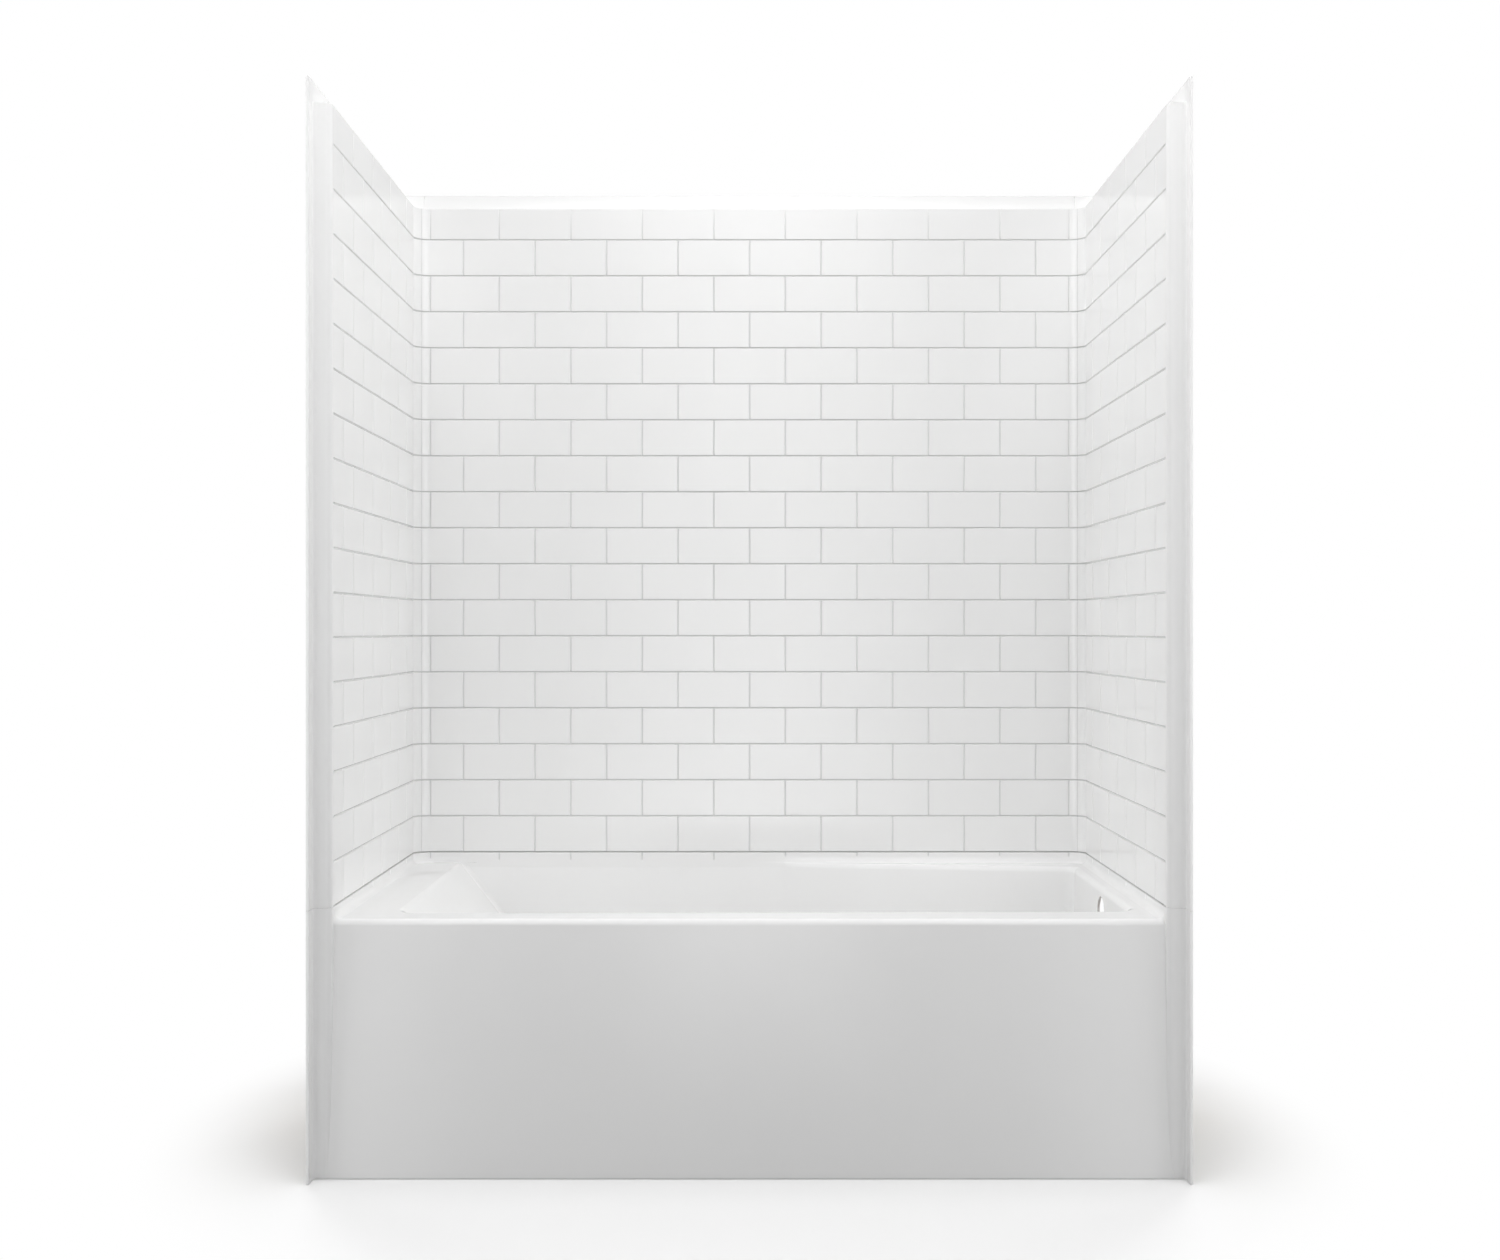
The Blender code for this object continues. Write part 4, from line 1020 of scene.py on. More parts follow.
    def corner_channel(self, side: int) -> Piece:
        """The cutter for a corner seal's channel in a side wall's return flange.

        Args:
            side: -1 for the left corner and 1 for the right one.

        Returns:
            The box.
        """
        unit = self.unit
        face = unit.seam_x + unit.fit / 2
        left, right = sorted((side * (face - self.overrun), side * (face + self.channel_depth)))
        front = unit.seam_y + self.channel_inset
        low = (left, front, unit.wall_foot + self.joint_start)
        return self.box(low, (right, front + self.channel_width, unit.tile_top - self.joint_start))


@dataclass
class Wall:
    """What the three wall mouldings share."""

    pattern: TilePattern
    joints: Joints
    face: bpy.types.Material
    back: bpy.types.Material
    arc_steps: int = 8

    def heights(self) -> list[float]:
        """Heights of the mesh lines up the face.

        Returns:
            The heights from the joint with the bath up to the end of the tiles.
        """
        unit = self.pattern.unit
        half = self.pattern.groove_width / 2
        foot = spread(unit.wall_foot, unit.seam_height + half, self.pattern.lines // 2)
        return foot[:-1] + self.pattern.with_lines(
            (foot[-1], unit.tile_top), self.pattern.course_heights()
        )

    def tray(self, path: Plan, outer: Plan, joint_from: int) -> list[Rows]:
        """A wall's patches: its face, its top ledge and flange, and its joint flange at the foot.

        Args:
            path: plan of the face.
            outer: plan of the flange, in step with the path.
            joint_from: the first point that has a joint flange behind it.

        Returns:
            The four patches.
        """
        unit = self.pattern.unit
        face = [[(*point, height) for point in path] for height in self.heights()]
        ledge = [[(*point, unit.tile_top) for point in line] for line in (path, outer)]
        flange = [[(*point, height) for point in outer] for height in (unit.tile_top, unit.height)]
        joint = [[(*point, unit.wall_foot) for point in line[joint_from:]] for line in (path, outer)]
        return [face, ledge, flange, joint]


@dataclass
class BackWall(Wall):
    """The back wall's moulding, from corner seam to corner seam."""

    def path(self) -> Plan:
        """Plan of the face and of its two return flanges.

        Returns:
            Its points from left to right.
        """
        unit = self.pattern.unit
        edge = unit.seam_x - unit.fit / 2
        end = unit.side_face - unit.rear_round
        turns = spread(0.0, unit.seam_turn, self.arc_steps)[1:-1]
        grooves = self.pattern.back_uprights(True) + self.pattern.back_uprights(False)
        flat = self.pattern.with_lines((-end, end), grooves)
        left = [tuple(unit.arc_point(turn, -1)) for turn in reversed(turns)]
        right = [tuple(unit.arc_point(turn, 1)) for turn in turns]
        seam = [(-edge, unit.flange_y), (-edge, unit.seam_y)]
        middle = [(x, unit.back_face) for x in flat]
        return seam + left + middle + right + [(edge, unit.seam_y), (edge, unit.flange_y)]

    def build(self) -> None:
        """The finished back wall."""
        path = self.path()
        outer = [(x, self.pattern.unit.flange_y) for x, _ in path]
        mould = Mould("back_wall", self.tray(path, outer, 0), self.pattern, self.face, self.back)
        mould.build(
            "back_wall_moulding",
            lambda: self.joints.joint_holes() + self.joints.corner_holes((-1, 1)),
        )


@dataclass
class SideWall(Wall):
    """A side wall's moulding, with its column, its nailing flange and its half of the corner."""

    side: Side = Side.LEFT
    side_arc_steps: int = 16
    corner_share: float = 0.6

    def build(self) -> None:
        """The finished side wall."""
        unit, side = self.pattern.unit, self.side.value
        seam = side * (unit.seam_x + unit.fit / 2)
        column = [tuple(point) for point in reversed(unit.column_path(unit.rim_back, side))]
        joint_from = len(column) - 1
        end = unit.back_face - unit.rear_round
        grooves = self.pattern.side_uprights(True) + self.pattern.side_uprights(False)
        flat = self.pattern.with_lines((unit.rim_back, end), grooves)[1:]
        turns = spread(math.pi / 2, unit.seam_turn, self.side_arc_steps)[1:-1]
        arc = [tuple(unit.arc_point(turn, side)) for turn in turns]
        path = column + [(side * unit.side_face, y) for y in flat] + arc
        path += [(seam, unit.seam_y), (seam, unit.flange_y)]
        x = side * unit.flange_x
        outer = [(x, unit.front)]
        root = unit.column_front - unit.root_fillet
        outer += [(x, y) for y in spread(root, unit.rim_back, joint_from - 1)]
        outer += [(x, y) for y in flat]
        turned = round(self.side_arc_steps * self.corner_share)
        outer += [(x, y) for y in spread(end, unit.flange_y, turned)[1:]]
        rest = self.side_arc_steps - turned
        outer += [(across, unit.flange_y) for across in spread(x, seam, rest)[1:]]
        outer.append((seam, unit.flange_y))
        name = f"{self.side.word}_wall"
        mould = Mould(name, self.tray(path, outer, joint_from), self.pattern, self.face, self.back)
        mould.build(
            f"{name}_moulding",
            lambda: [
                *self.joints.joint_holes(),
                *self.joints.corner_holes((side,)),
                self.joints.corner_channel(side),
            ],
        )


@dataclass
class Station:
    """A place on the wall's foot round the deck, with the way in from it and the cove's reach."""

    unit: Envelope
    x: float
    y: float
    inward: Vector
    cove: float

    def at(self, inset: float, height: float) -> Point:
        """The point at an inset from the face, at a height."""
        return (self.x + self.inward.x * inset, self.y + self.inward.y * inset, height)

    def flange_point(self, height: float) -> Point:
        """Where the joint flange behind this place meets the stud line.

        Args:
            height: the flange's height.

        Returns:
            The point, square to the face.
        """
        reach = []
        if abs(self.inward.x) > self.unit.fit:
            reach.append((self.unit.flange_x - abs(self.x)) / abs(self.inward.x))
        if -self.inward.y > self.unit.fit:
            reach.append((self.unit.flange_y - self.y) / -self.inward.y)
        return self.at(-min(reach), height)


@dataclass
class Bath:
    """The bath's moulding: well, deck, coves, rim, apron, column feet and joint flange."""

    pattern: TilePattern
    joints: Joints
    face: bpy.types.Material
    back: bpy.types.Material
    left_deck: float = 0.1008
    right_deck: float = 0.0362
    front_deck: tuple[float, float] = (0.060, 0.081)
    rear_deck: float = 0.072
    rear_deck_start: float = 0.055
    rear_deck_power: float = 1.25
    well_roll: float = 0.012
    backrest_angle: float = math.radians(52)
    front_angle: float = math.radians(84)
    rear_angle: float = math.radians(86)
    drain_end_angle: float = math.radians(88)
    backrest_fillet: float = 0.120
    floor_fillet: float = 0.050
    floor_height: float = 0.080
    floor_fall: float = 1 / 96
    front_corner: float = 0.045
    drain_corner: float = 0.018
    backrest_corner: float = 0.008
    floor_corner: float = 0.070
    corner_growth: int = 3
    drain_setback: float = 0.165
    drain_from_front: float = 0.405
    recess_radius: float = 0.043
    recess_depth: float = 0.004
    drain_radius: float = 0.026
    overflow_radius: float = 0.0305
    overflow_drop: float = 0.048
    overflow_ease: float = 0.0012
    apron_foot_setback: float = 0.0006
    apron_foot_height: float = 0.008
    front_steps: int = 40
    front_corner_steps: int = 18
    rim_corner_steps: int = 9
    back_arc_steps: int = 6
    side_arc_steps: int = 10
    corner_gap_steps: int = 4
    cove_steps: int = 8
    rim_steps: int = 10
    apron_steps: int = 12
    roll_steps: int = 9
    wall_steps: int = 10
    fillet_steps: int = 14
    roll_end: float = math.radians(88)
    fillet_start: float = math.radians(86)
    floor_steps: int = 4
    recess_steps: int = 4
    ease_steps: int = 3
    plain_gap: float = 0.040
    hole_sides: int = 64
    rear_rights: list[float] = field(default_factory=list)
    rear_lefts: list[float] = field(default_factory=list)
    right_ends: list[float] = field(default_factory=list)
    left_ends: list[float] = field(default_factory=list)

    def __post_init__(self) -> None:
        """Works out the mesh lines along each side of the well, with those of the tiles' ticks."""
        ticks = self.pattern.back_uprights(True)
        side_ticks = self.pattern.side_uprights(True)
        self.rear_rights = shares_of(self.lined(self.rear_right, self.rear_deck_start, ticks))
        self.rear_lefts = shares_of(self.lined(self.rear_deck_start, self.rear_left, ticks))
        self.right_ends = shares_of(self.lined(self.front_high(1), self.drain_high, side_ticks))
        self.left_ends = shares_of(self.lined(self.left_high, self.front_high(-1), side_ticks))

    def lined(self, start: float, end: float, grooves: list[float]) -> list[float]:
        """Mesh lines from start to end, with those of the grooves between them.

        Args:
            start: the first value.
            end: the last value.
            grooves: middles of the grooves.

        Returns:
            The values, in order from start to end.
        """
        count = max(1, round(abs(end - start) / self.plain_gap))
        found = self.pattern.with_lines(spread(start, end, count), grooves)
        return found if start < end else found[::-1]

    @property
    def well_left(self) -> float:
        """The well's left edge at the deck."""
        return -self.pattern.unit.side_face + self.left_deck

    @property
    def well_right(self) -> float:
        """The well's drain-end edge at the deck."""
        return self.pattern.unit.side_face - self.right_deck

    @property
    def well_depth(self) -> float:
        """From the deck to the floor at the drain."""
        return self.pattern.unit.deck_height - self.floor_height

    @property
    def drain_x(self) -> float:
        """The drain's place along the bath."""
        return self.well_right - self.drain_setback

    @property
    def drain_y(self) -> float:
        """The drain's place across the bath."""
        return self.pattern.unit.front + self.drain_from_front

    @property
    def drain_high(self) -> float:
        """Where the well's drain-end edge meets its rear corner."""
        return self.well_rear(self.well_right, 0.0) - self.drain_corner

    @property
    def rear_right(self) -> float:
        """The right end of the well's rear edge at the deck."""
        inset = self.wall_inset(0.0, self.drain_end_angle, self.floor_fillet)
        return self.well_right - inset - self.drain_corner

    @property
    def rear_left(self) -> float:
        """The left end of the well's rear edge at the deck."""
        return self.well_left + self.wall_inset(0.0, self.backrest_angle, self.backrest_fillet)

    @property
    def left_high(self) -> float:
        """The last place on the left wall before its rear corner."""
        return self.pattern.unit.back_face - 2 * self.pattern.unit.rear_round

    def front_high(self, side: int) -> float:
        """Where an end edge of the well meets its front corner."""
        x = self.well_right if side > 0 else self.well_left
        return self.well_front(x, 0.0) + self.front_corner

    def wall_inset(self, drop: float, angle: float, fillet: float, roll: float | None = None) -> float:
        """How far a wall of the well stands in from its upper edge, at a depth below the deck.

        Args:
            drop: the depth.
            angle: the wall's own angle from level.
            fillet: radius where it runs into the floor.
            roll: radius of its upper edge, if that isn't the usual one.

        Returns:
            The distance from the edge.
        """
        roll = self.well_roll if roll is None else roll
        roll_drop = self.well_roll * (1 - math.cos(angle))
        if drop < roll_drop:
            turn = math.acos(1 - drop / self.well_roll)
            return roll * (math.sin(turn) - math.sin(angle))
        rise = self.well_depth - drop
        fillet_rise = fillet * (1 - math.cos(angle))
        if rise >= fillet_rise:
            return (drop - roll_drop) / math.tan(angle)
        foot = (self.well_depth - fillet_rise - roll_drop) / math.tan(angle)
        turn = math.acos(min(1, 1 - rise / fillet))
        return foot + fillet * (math.sin(angle) - math.sin(turn))

    def rear_deck_at(self, x: float) -> float:
        """Width of the rear deck, which opens part way along and widens to the drain end.

        Args:
            x: the place along the bath.

        Returns:
            The width there.
        """
        share = (x - self.rear_deck_start) / (self.well_right - self.rear_deck_start)
        share = min(1.0, max(0.0, share))
        return self.rear_deck * (1 - (1 - share) ** self.rear_deck_power)

    def well_front(self, x: float, drop: float) -> float:
        """The well's front wall at a place and depth.

        Args:
            x: the place along the bath.
            drop: the depth below the deck.

        Returns:
            Its Y.
        """
        share = (x - self.well_left) / (self.well_right - self.well_left)
        edge = self.pattern.unit.rim_back + between(*self.front_deck, share)
        return edge + self.wall_inset(drop, self.front_angle, self.floor_fillet)

    def well_rear(self, x: float, drop: float) -> float:
        """The well's rear wall at a place and depth.

        Args:
            x: the place along the bath.
            drop: the depth below the deck.

        Returns:
            Its Y.
        """
        width = self.rear_deck_at(x)
        roll = min(self.well_roll, width / 2)
        inset = self.wall_inset(drop, self.rear_angle, self.floor_fillet, roll)
        return self.pattern.unit.back_face - width - inset

    def floor_lift(self, x: float, drop: float) -> float:
        """How far the well's lower parts rise from the drain towards the backrest."""
        reach = max(0.0, self.drain_x - self.recess_radius - x)
        return self.floor_fall * reach * drop / self.well_depth

    def rear_stations(self, left: float, right: float) -> list[float]:
        """Places along the well's rear edge from right to left, with one where the rear deck starts.

        Args:
            left: the edge's left end.
            right: the edge's right end.

        Returns:
            Their X.
        """
        opened = [between(right, self.rear_deck_start, share) for share in self.rear_rights]
        flush = [between(self.rear_deck_start, left, share) for share in self.rear_lefts]
        return opened + flush[1:]

    def rear_corner_turns(self) -> list[float]:
        """Turns round a rear corner, from the back wall at 0 to the side wall.

        Returns:
            The turns, with one at the seam.
        """
        turn = self.pattern.unit.seam_turn
        back = spread(0.0, turn, self.back_arc_steps)
        return back + spread(turn, math.pi / 2, self.side_arc_steps)[1:]

    def corner_ticks(self) -> list[float]:
        """Mesh lines from the well's rear edge to a rear corner, with those of the last tick.

        Returns:
            Their distances from the middle.
        """
        ticks = self.pattern.across(self.pattern.back_uprights(True)[-1])
        start = max(self.rear_right, -self.rear_left)
        return spread(start, ticks[0], self.corner_gap_steps)[1:-1] + ticks

    @property
    def rear_corner_steps(self) -> int:
        """Points of the well's ring in a rear corner."""
        return len(self.corner_ticks()) + len(self.rear_corner_turns()) + 1

    def well_ring(self, drop: float) -> list[Point]:
        """The well's outline at a depth below the deck, anticlockwise from the front's left end.

        Args:
            drop: the depth.

        Returns:
            As many points for every depth.
        """
        left = self.well_left + self.wall_inset(drop, self.backrest_angle, self.backrest_fillet)
        right = self.well_right - self.wall_inset(drop, self.drain_end_angle, self.floor_fillet)
        grown = (drop / self.well_depth) ** self.corner_growth
        front_corner = between(self.front_corner, self.floor_corner, grown)
        drain_corner = between(self.drain_corner, self.floor_corner, grown)
        sharp = self.backrest_corner * min(1.0, drop / self.well_roll)
        back_corner = between(sharp, self.floor_corner, grown)
        plan: Plan = []
        for x in spread(left + front_corner, right - front_corner, self.front_steps)[:-1]:
            plan.append((x, self.well_front(x, drop)))
        for turn in spread(0.0, math.pi / 2, self.front_corner_steps)[:-1]:
            x = right - front_corner * (1 - math.sin(turn))
            plan.append((x, self.well_front(x, drop) + front_corner * (1 - math.cos(turn))))
        low = self.well_front(right, drop) + front_corner
        high = self.well_rear(right, drop) - drain_corner
        plan += [(right, between(low, high, share)) for share in self.right_ends[:-1]]
        for turn in spread(0.0, math.pi / 2, self.rear_corner_steps)[:-1]:
            x = right - drain_corner * (1 - math.cos(turn))
            plan.append((x, self.well_rear(x, drop) - drain_corner * (1 - math.sin(turn))))
        for x in self.rear_stations(left + back_corner, right - drain_corner)[:-1]:
            plan.append((x, self.well_rear(x, drop)))
        for turn in spread(0.0, math.pi / 2, self.rear_corner_steps)[:-1]:
            x = left + back_corner * (1 - math.sin(turn))
            plan.append((x, self.well_rear(x, drop) - back_corner * (1 - math.cos(turn))))
        high = self.well_rear(left, drop) - back_corner
        low = self.well_front(left, drop) + front_corner
        plan += [(left, between(high, low, share)) for share in self.left_ends[:-1]]
        for turn in spread(0.0, math.pi / 2, self.front_corner_steps)[:-1]:
            x = left + front_corner * (1 - math.cos(turn))
            plan.append((x, self.well_front(x, drop) + front_corner * (1 - math.sin(turn))))
        height = self.pattern.unit.deck_height
        return [(x, y, height - drop + self.floor_lift(x, drop)) for x, y in plan]

    def station(self, x: float, y: float, inward: tuple[float, float], cove: float) -> Station:
        """A station of the wall's foot."""
        return Station(self.pattern.unit, x, y, Vector(inward), cove)

    def corner_stations(self, side: int) -> list[Station]:
        """Stations round a rear corner, from the back wall to the side wall.

        Args:
            side: -1 for the left corner and 1 for the right one.

        Returns:
            The stations in order.
        """
        unit = self.pattern.unit
        end = unit.side_face - unit.rear_round
        opened = end + self.rear_left
        grown = opened + unit.seam_turn * unit.rear_round

        def cove(along: float) -> float:
            """The cove's reach, which opens from nothing at the left end of the well's rear edge."""
            return unit.cove if side > 0 else unit.cove * min(1.0, max(0.0, along / grown)) ** 2

        made = []
        for x in self.corner_ticks():
            made.append(self.station(side * x, unit.back_face, (0, -1), cove(x + self.rear_left)))
        for turn in self.rear_corner_turns():
            point = unit.arc_point(turn, side)
            inward = (-side * math.sin(turn), -math.cos(turn))
            reach = cove(opened + turn * unit.rear_round)
            made.append(self.station(point.x, point.y, inward, reach))
        return made

    def wall_stations(self) -> list[Station]:
        """Stations from the rim's right end, round the right, back and left walls, to its left end.

        Returns:
            The stations in order.
        """
        unit = self.pattern.unit
        steps = self.front_corner_steps - self.rim_corner_steps
        made = []
        for y in spread(unit.rim_back, self.front_high(1), steps)[:-1]:
            made.append(self.station(unit.side_face, y, (-1, 0), unit.cove))
        for share in self.right_ends:
            y = between(self.front_high(1), self.drain_high, share)
            made.append(self.station(unit.side_face, y, (-1, 0), unit.cove))
        made += reversed(self.corner_stations(1))
        for x in self.rear_stations(self.rear_left, self.rear_right):
            cove = min(unit.cove, self.rear_deck_at(x) / 2)
            made.append(self.station(x, unit.back_face, (0, -1), cove))
        made += self.corner_stations(-1)
        for share in self.left_ends:
            y = between(self.left_high, self.front_high(-1), share)
            made.append(self.station(-unit.side_face, y, (1, 0), unit.cove))
        for y in spread(self.front_high(-1), unit.rim_back, steps)[1:]:
            made.append(self.station(-unit.side_face, y, (1, 0), unit.cove))
        return made

    def rim_stations(self) -> list[float]:
        """Places along the rim's back line from the left end to the right end.

        Returns:
            Their X.
        """
        end = self.pattern.unit.side_face - self.pattern.unit.cove
        left_foot = self.well_left + self.front_corner
        right_foot = self.well_right - self.front_corner
        left = spread(-end, left_foot, self.rim_corner_steps)
        middle = spread(left_foot, right_foot, self.front_steps)
        right = spread(right_foot, end, self.rim_corner_steps)
        return left + middle[1:] + right[1:]

    def rim_row(self, step: int) -> tuple[Vector, Vector, float]:
        """A row over the rim: its place, the way out of the surface and the cove that is left.

        Args:
            step: the row's number from the rim's back line.

        Returns:
            The place and the way out, in Y and Z, and the cove's reach.
        """
        unit = self.pattern.unit
        turn = math.pi / 2 * step / self.rim_steps
        out = Vector((-math.sin(turn), math.cos(turn)))
        centre = Vector((unit.rim_back, unit.deck_height - unit.rim_round))
        return centre + out * unit.rim_round, out, unit.cove * (1 - step / self.rim_steps)

    def apron_places(self) -> list[Vector]:
        """The apron's places and heights below the rim. It leans, but its foot stands upright.

        Returns:
            For each row of the apron its Y and its height, from the top down.
        """
        unit = self.pattern.unit
        height = unit.deck_height - unit.rim_round
        rise = height - self.apron_foot_height
        lean = (unit.apron_top_setback - self.apron_foot_setback) / rise
        heights = spread(height, self.apron_foot_height, self.apron_steps)[1:]
        places = []
        for level in (*heights, 0.0):
            setback = self.apron_foot_setback + max(0.0, level - self.apron_foot_height) * lean
            places.append(Vector((unit.column_front + setback, level)))
        return places

    def front_rows(self, rims: list[float]) -> Rows:
        """Rows of the front, from the rim's back line down to the floor.

        Args:
            rims: places along the rim's back line.

        Returns:
            The rows from the rim's back line down, each from left to right.
        """
        unit = self.pattern.unit
        rows = []
        for step in range(self.rim_steps + 1):
            place, _, cove = self.rim_row(step)
            line = [cove - unit.side_face, *rims[1:-1], unit.side_face - cove]
            rows.append([(x, place.x, place.y) for x in line])
        for place in self.apron_places():
            end = unit.column_path(place.x, 1)[0].x
            rows.append([(x, place.x, place.y) for x in (-end, *rims[1:-1], end)])
        return rows

    def cove_rows(self, side: int) -> Rows:
        """The cove between deck and wall, as it runs out over the rim.

        Args:
            side: -1 for the left cove and 1 for the right one.

        Returns:
            The rows from the back to the front.
        """
        rows = []
        for step in range(self.rim_steps + 1):
            place, out, cove = self.rim_row(step)
            row = []
            for turn in spread(0.0, math.pi / 2, self.cove_steps):
                point = place + out * cove * (1 - math.cos(turn))
                across = self.pattern.unit.side_face - cove * (1 - math.sin(turn))
                row.append((side * across, point.x, point.y))
            rows.append(row)
        return rows

    def upstand_heights(self) -> list[float]:
        """Heights of the mesh lines from the cove's top up to the joint.

        Returns:
            The heights from the lowest up.
        """
        unit = self.pattern.unit
        half = self.pattern.groove_width / 2
        plain = spread(unit.deck_height + unit.cove, unit.seam_height - half, self.rim_steps // 2)
        return plain + spread(unit.seam_height - half, unit.tub_top, self.pattern.lines // 2)[1:]

    def column_rows(self, side: int) -> Rows:
        """The column's foot beside the apron, from the joint with the wall down to the floor.

        Args:
            side: -1 for the left column and 1 for the right one.

        Returns:
            The rows from the top down.
        """
        unit = self.pattern.unit
        rows = []
        for height in self.upstand_heights()[:0:-1]:
            rows.append([(point.x, point.y, height) for point in unit.column_path(unit.rim_back, side)])
        starts = []
        for step in range(self.rim_steps + 1):
            place, out, cove = self.rim_row(step)
            starts.append(place + out * cove)
        for start in (*starts, *self.apron_places()):
            rows.append([(point.x, point.y, start.y) for point in unit.column_path(start.x, side)])
        return rows

    def upstand_rows(self, stations: list[Station]) -> Rows:
        """Rows up the wall's foot: the cove, the part course of tiles and the joint flange.

        Args:
            stations: the places round the deck.

        Returns:
            The rows from the deck up.
        """
        unit = self.pattern.unit
        rows = []
        for turn in spread(0.0, math.pi / 2, self.cove_steps):
            height = unit.deck_height + unit.cove * (1 - math.cos(turn))
            rows.append([here.at(here.cove * (1 - math.sin(turn)), height) for here in stations])
        for height in self.upstand_heights()[1:]:
            rows.append([here.at(0.0, height) for here in stations])
        rows.append([here.flange_point(unit.tub_top) for here in stations])
        return rows

    def deck_ring(self, stations: list[Station], rims: list[float]) -> list[Point]:
        """The deck's outer edge, in step with the well's rings.

        Args:
            stations: the places round the deck.
            rims: places along the rim's back line.

        Returns:
            As many points as each ring of the well has.
        """
        unit = self.pattern.unit
        corner = self.rim_corner_steps
        front = [(x, unit.rim_back, unit.deck_height) for x in rims[corner:]]
        walls = [here.at(here.cove, unit.deck_height) for here in stations]
        left = [(x, unit.rim_back, unit.deck_height) for x in rims[:corner]]
        return front + walls[1:] + left[1:]

    def drain_rings(self, last: list[Point]) -> list[list[Point]]:
        """Rings from the floor's edge to the drain hole.

        Args:
            last: the well's last ring, at the floor's edge.

        Returns:
            The rings, each in step with the last one.
        """
        first_turn = math.atan2(last[0][1] - self.drain_y, last[0][0] - self.drain_x)
        turns = []
        for index, (x, y, _) in enumerate(last):
            even = first_turn + 2 * math.pi * index / len(last)
            sight = math.atan2(y - self.drain_y, x - self.drain_x)
            turns.append(even + math.remainder(sight - even, 2 * math.pi) / 2)

        def circle(radius: float, drop: float) -> list[Point]:
            """A ring round the drain, at a depth below the floor.

            Args:
                radius: the ring's radius.
                drop: its depth below the floor.

            Returns:
                A point for each turn.
            """
            x, y, height = self.drain_x, self.drain_y, self.floor_height - drop
            return [(x + radius * math.cos(turn), y + radius * math.sin(turn), height) for turn in turns]

        rim = circle(self.recess_radius, 0.0)
        rings = []
        for share in spread(0.0, 1.0, self.floor_steps)[1:-1]:
            ring = []
            for outer, inner in zip(last, rim):
                x, y = (between(a, b, share) for a, b in zip(outer[:2], inner[:2]))
                ring.append((x, y, self.floor_height + self.floor_lift(x, self.well_depth)))
            rings.append(ring)
        rings.append(rim)
        for turn in spread(0.0, math.pi / 2, self.recess_steps)[1:]:
            out = self.recess_depth * (1 - math.cos(turn))
            rings.append(circle(self.recess_radius - self.recess_depth * math.sin(turn), out))
        rings.append(circle(self.drain_radius, self.recess_depth))
        return rings

    def well_drops(self) -> list[float]:
        """Depths of the well's rings: over the rolled edge, down the walls and round the floor's fillet.

        Returns:
            The depths from the deck down.
        """
        turns = spread(0.0, self.roll_end, self.roll_steps)
        rolled = [self.well_roll * (1 - math.cos(turn)) for turn in turns]
        turns = spread(self.fillet_start, 0.0, self.fillet_steps)
        filleted = [self.well_depth - self.floor_fillet * (1 - math.cos(turn)) for turn in turns]
        return rolled + spread(rolled[-1], filleted[0], self.wall_steps)[1:-1] + filleted

    def overflow_cutter(self) -> Piece:
        """A round cutter for the overflow, which flares a little at the face for an eased edge.

        Returns:
            The cutter, through the drain end wall.
        """
        unit = self.pattern.unit
        drop = self.overflow_drop
        face = self.well_right - self.wall_inset(drop, self.drain_end_angle, self.floor_fillet)
        reach = unit.sheet + self.joints.overrun
        rows = [(-reach, self.overflow_radius + self.overflow_ease)]
        for turn in spread(0.0, math.pi / 2, self.ease_steps):
            wider = self.overflow_ease * (1 - math.sin(turn)) ** 2
            rows.append((self.overflow_ease * math.sin(turn), self.overflow_radius + wider))
        rows.append((2 * reach, self.overflow_radius))
        bpy.ops.object.select_all(action="DESELECT")
        bpy.ops.mesh.primitive_circle_add(
            vertices=self.hole_sides,
            radius=rows[0][1],
            fill_type="NGON",
            location=(face + rows[0][0], self.drain_y, unit.deck_height - drop),
            rotation=(0, math.pi / 2, 0),
        )
        made = bpy.context.object
        bpy.ops.object.transform_apply(location=True, rotation=True, scale=True)
        bpy.ops.object.mode_set(mode="EDIT")
        bpy.ops.mesh.select_all(action="SELECT")
        for (near, wide), (far, narrow) in zip(rows, rows[1:]):
            bpy.ops.mesh.extrude_region_move(TRANSFORM_OT_translate={"value": (far - near, 0, 0)})
            bpy.ops.transform.resize(
                value=(1, narrow / wide, narrow / wide),
                center_override=(face + far, self.drain_y, unit.deck_height - drop),
            )
        bpy.ops.mesh.select_all(action="SELECT")
        bpy.ops.mesh.normals_make_consistent(inside=False)
        bpy.ops.object.mode_set(mode="OBJECT")
        return made

    def cutters(self) -> list[Piece]:
        """All that is cut from the bath last."""
        return [self.overflow_cutter(), *self.joints.joint_channels(), *self.joints.joint_holes()]

    def build(self) -> None:
        """The finished bath."""
        stations = self.wall_stations()
        rims = self.rim_stations()
        rings = [self.well_ring(drop) for drop in self.well_drops()]
        rings = [self.deck_ring(stations, rims), *rings, *self.drain_rings(rings[-1])]
        patches = [[[*ring, ring[0]] for ring in rings], self.front_rows(rims)]
        patches.append(self.upstand_rows(stations))
        for side in (-1, 1):
            patches += [self.cove_rows(side), self.column_rows(side)]
        mould = Mould("bath", patches, self.pattern, self.face, self.back)
        mould.build("bath_moulding", self.cutters)


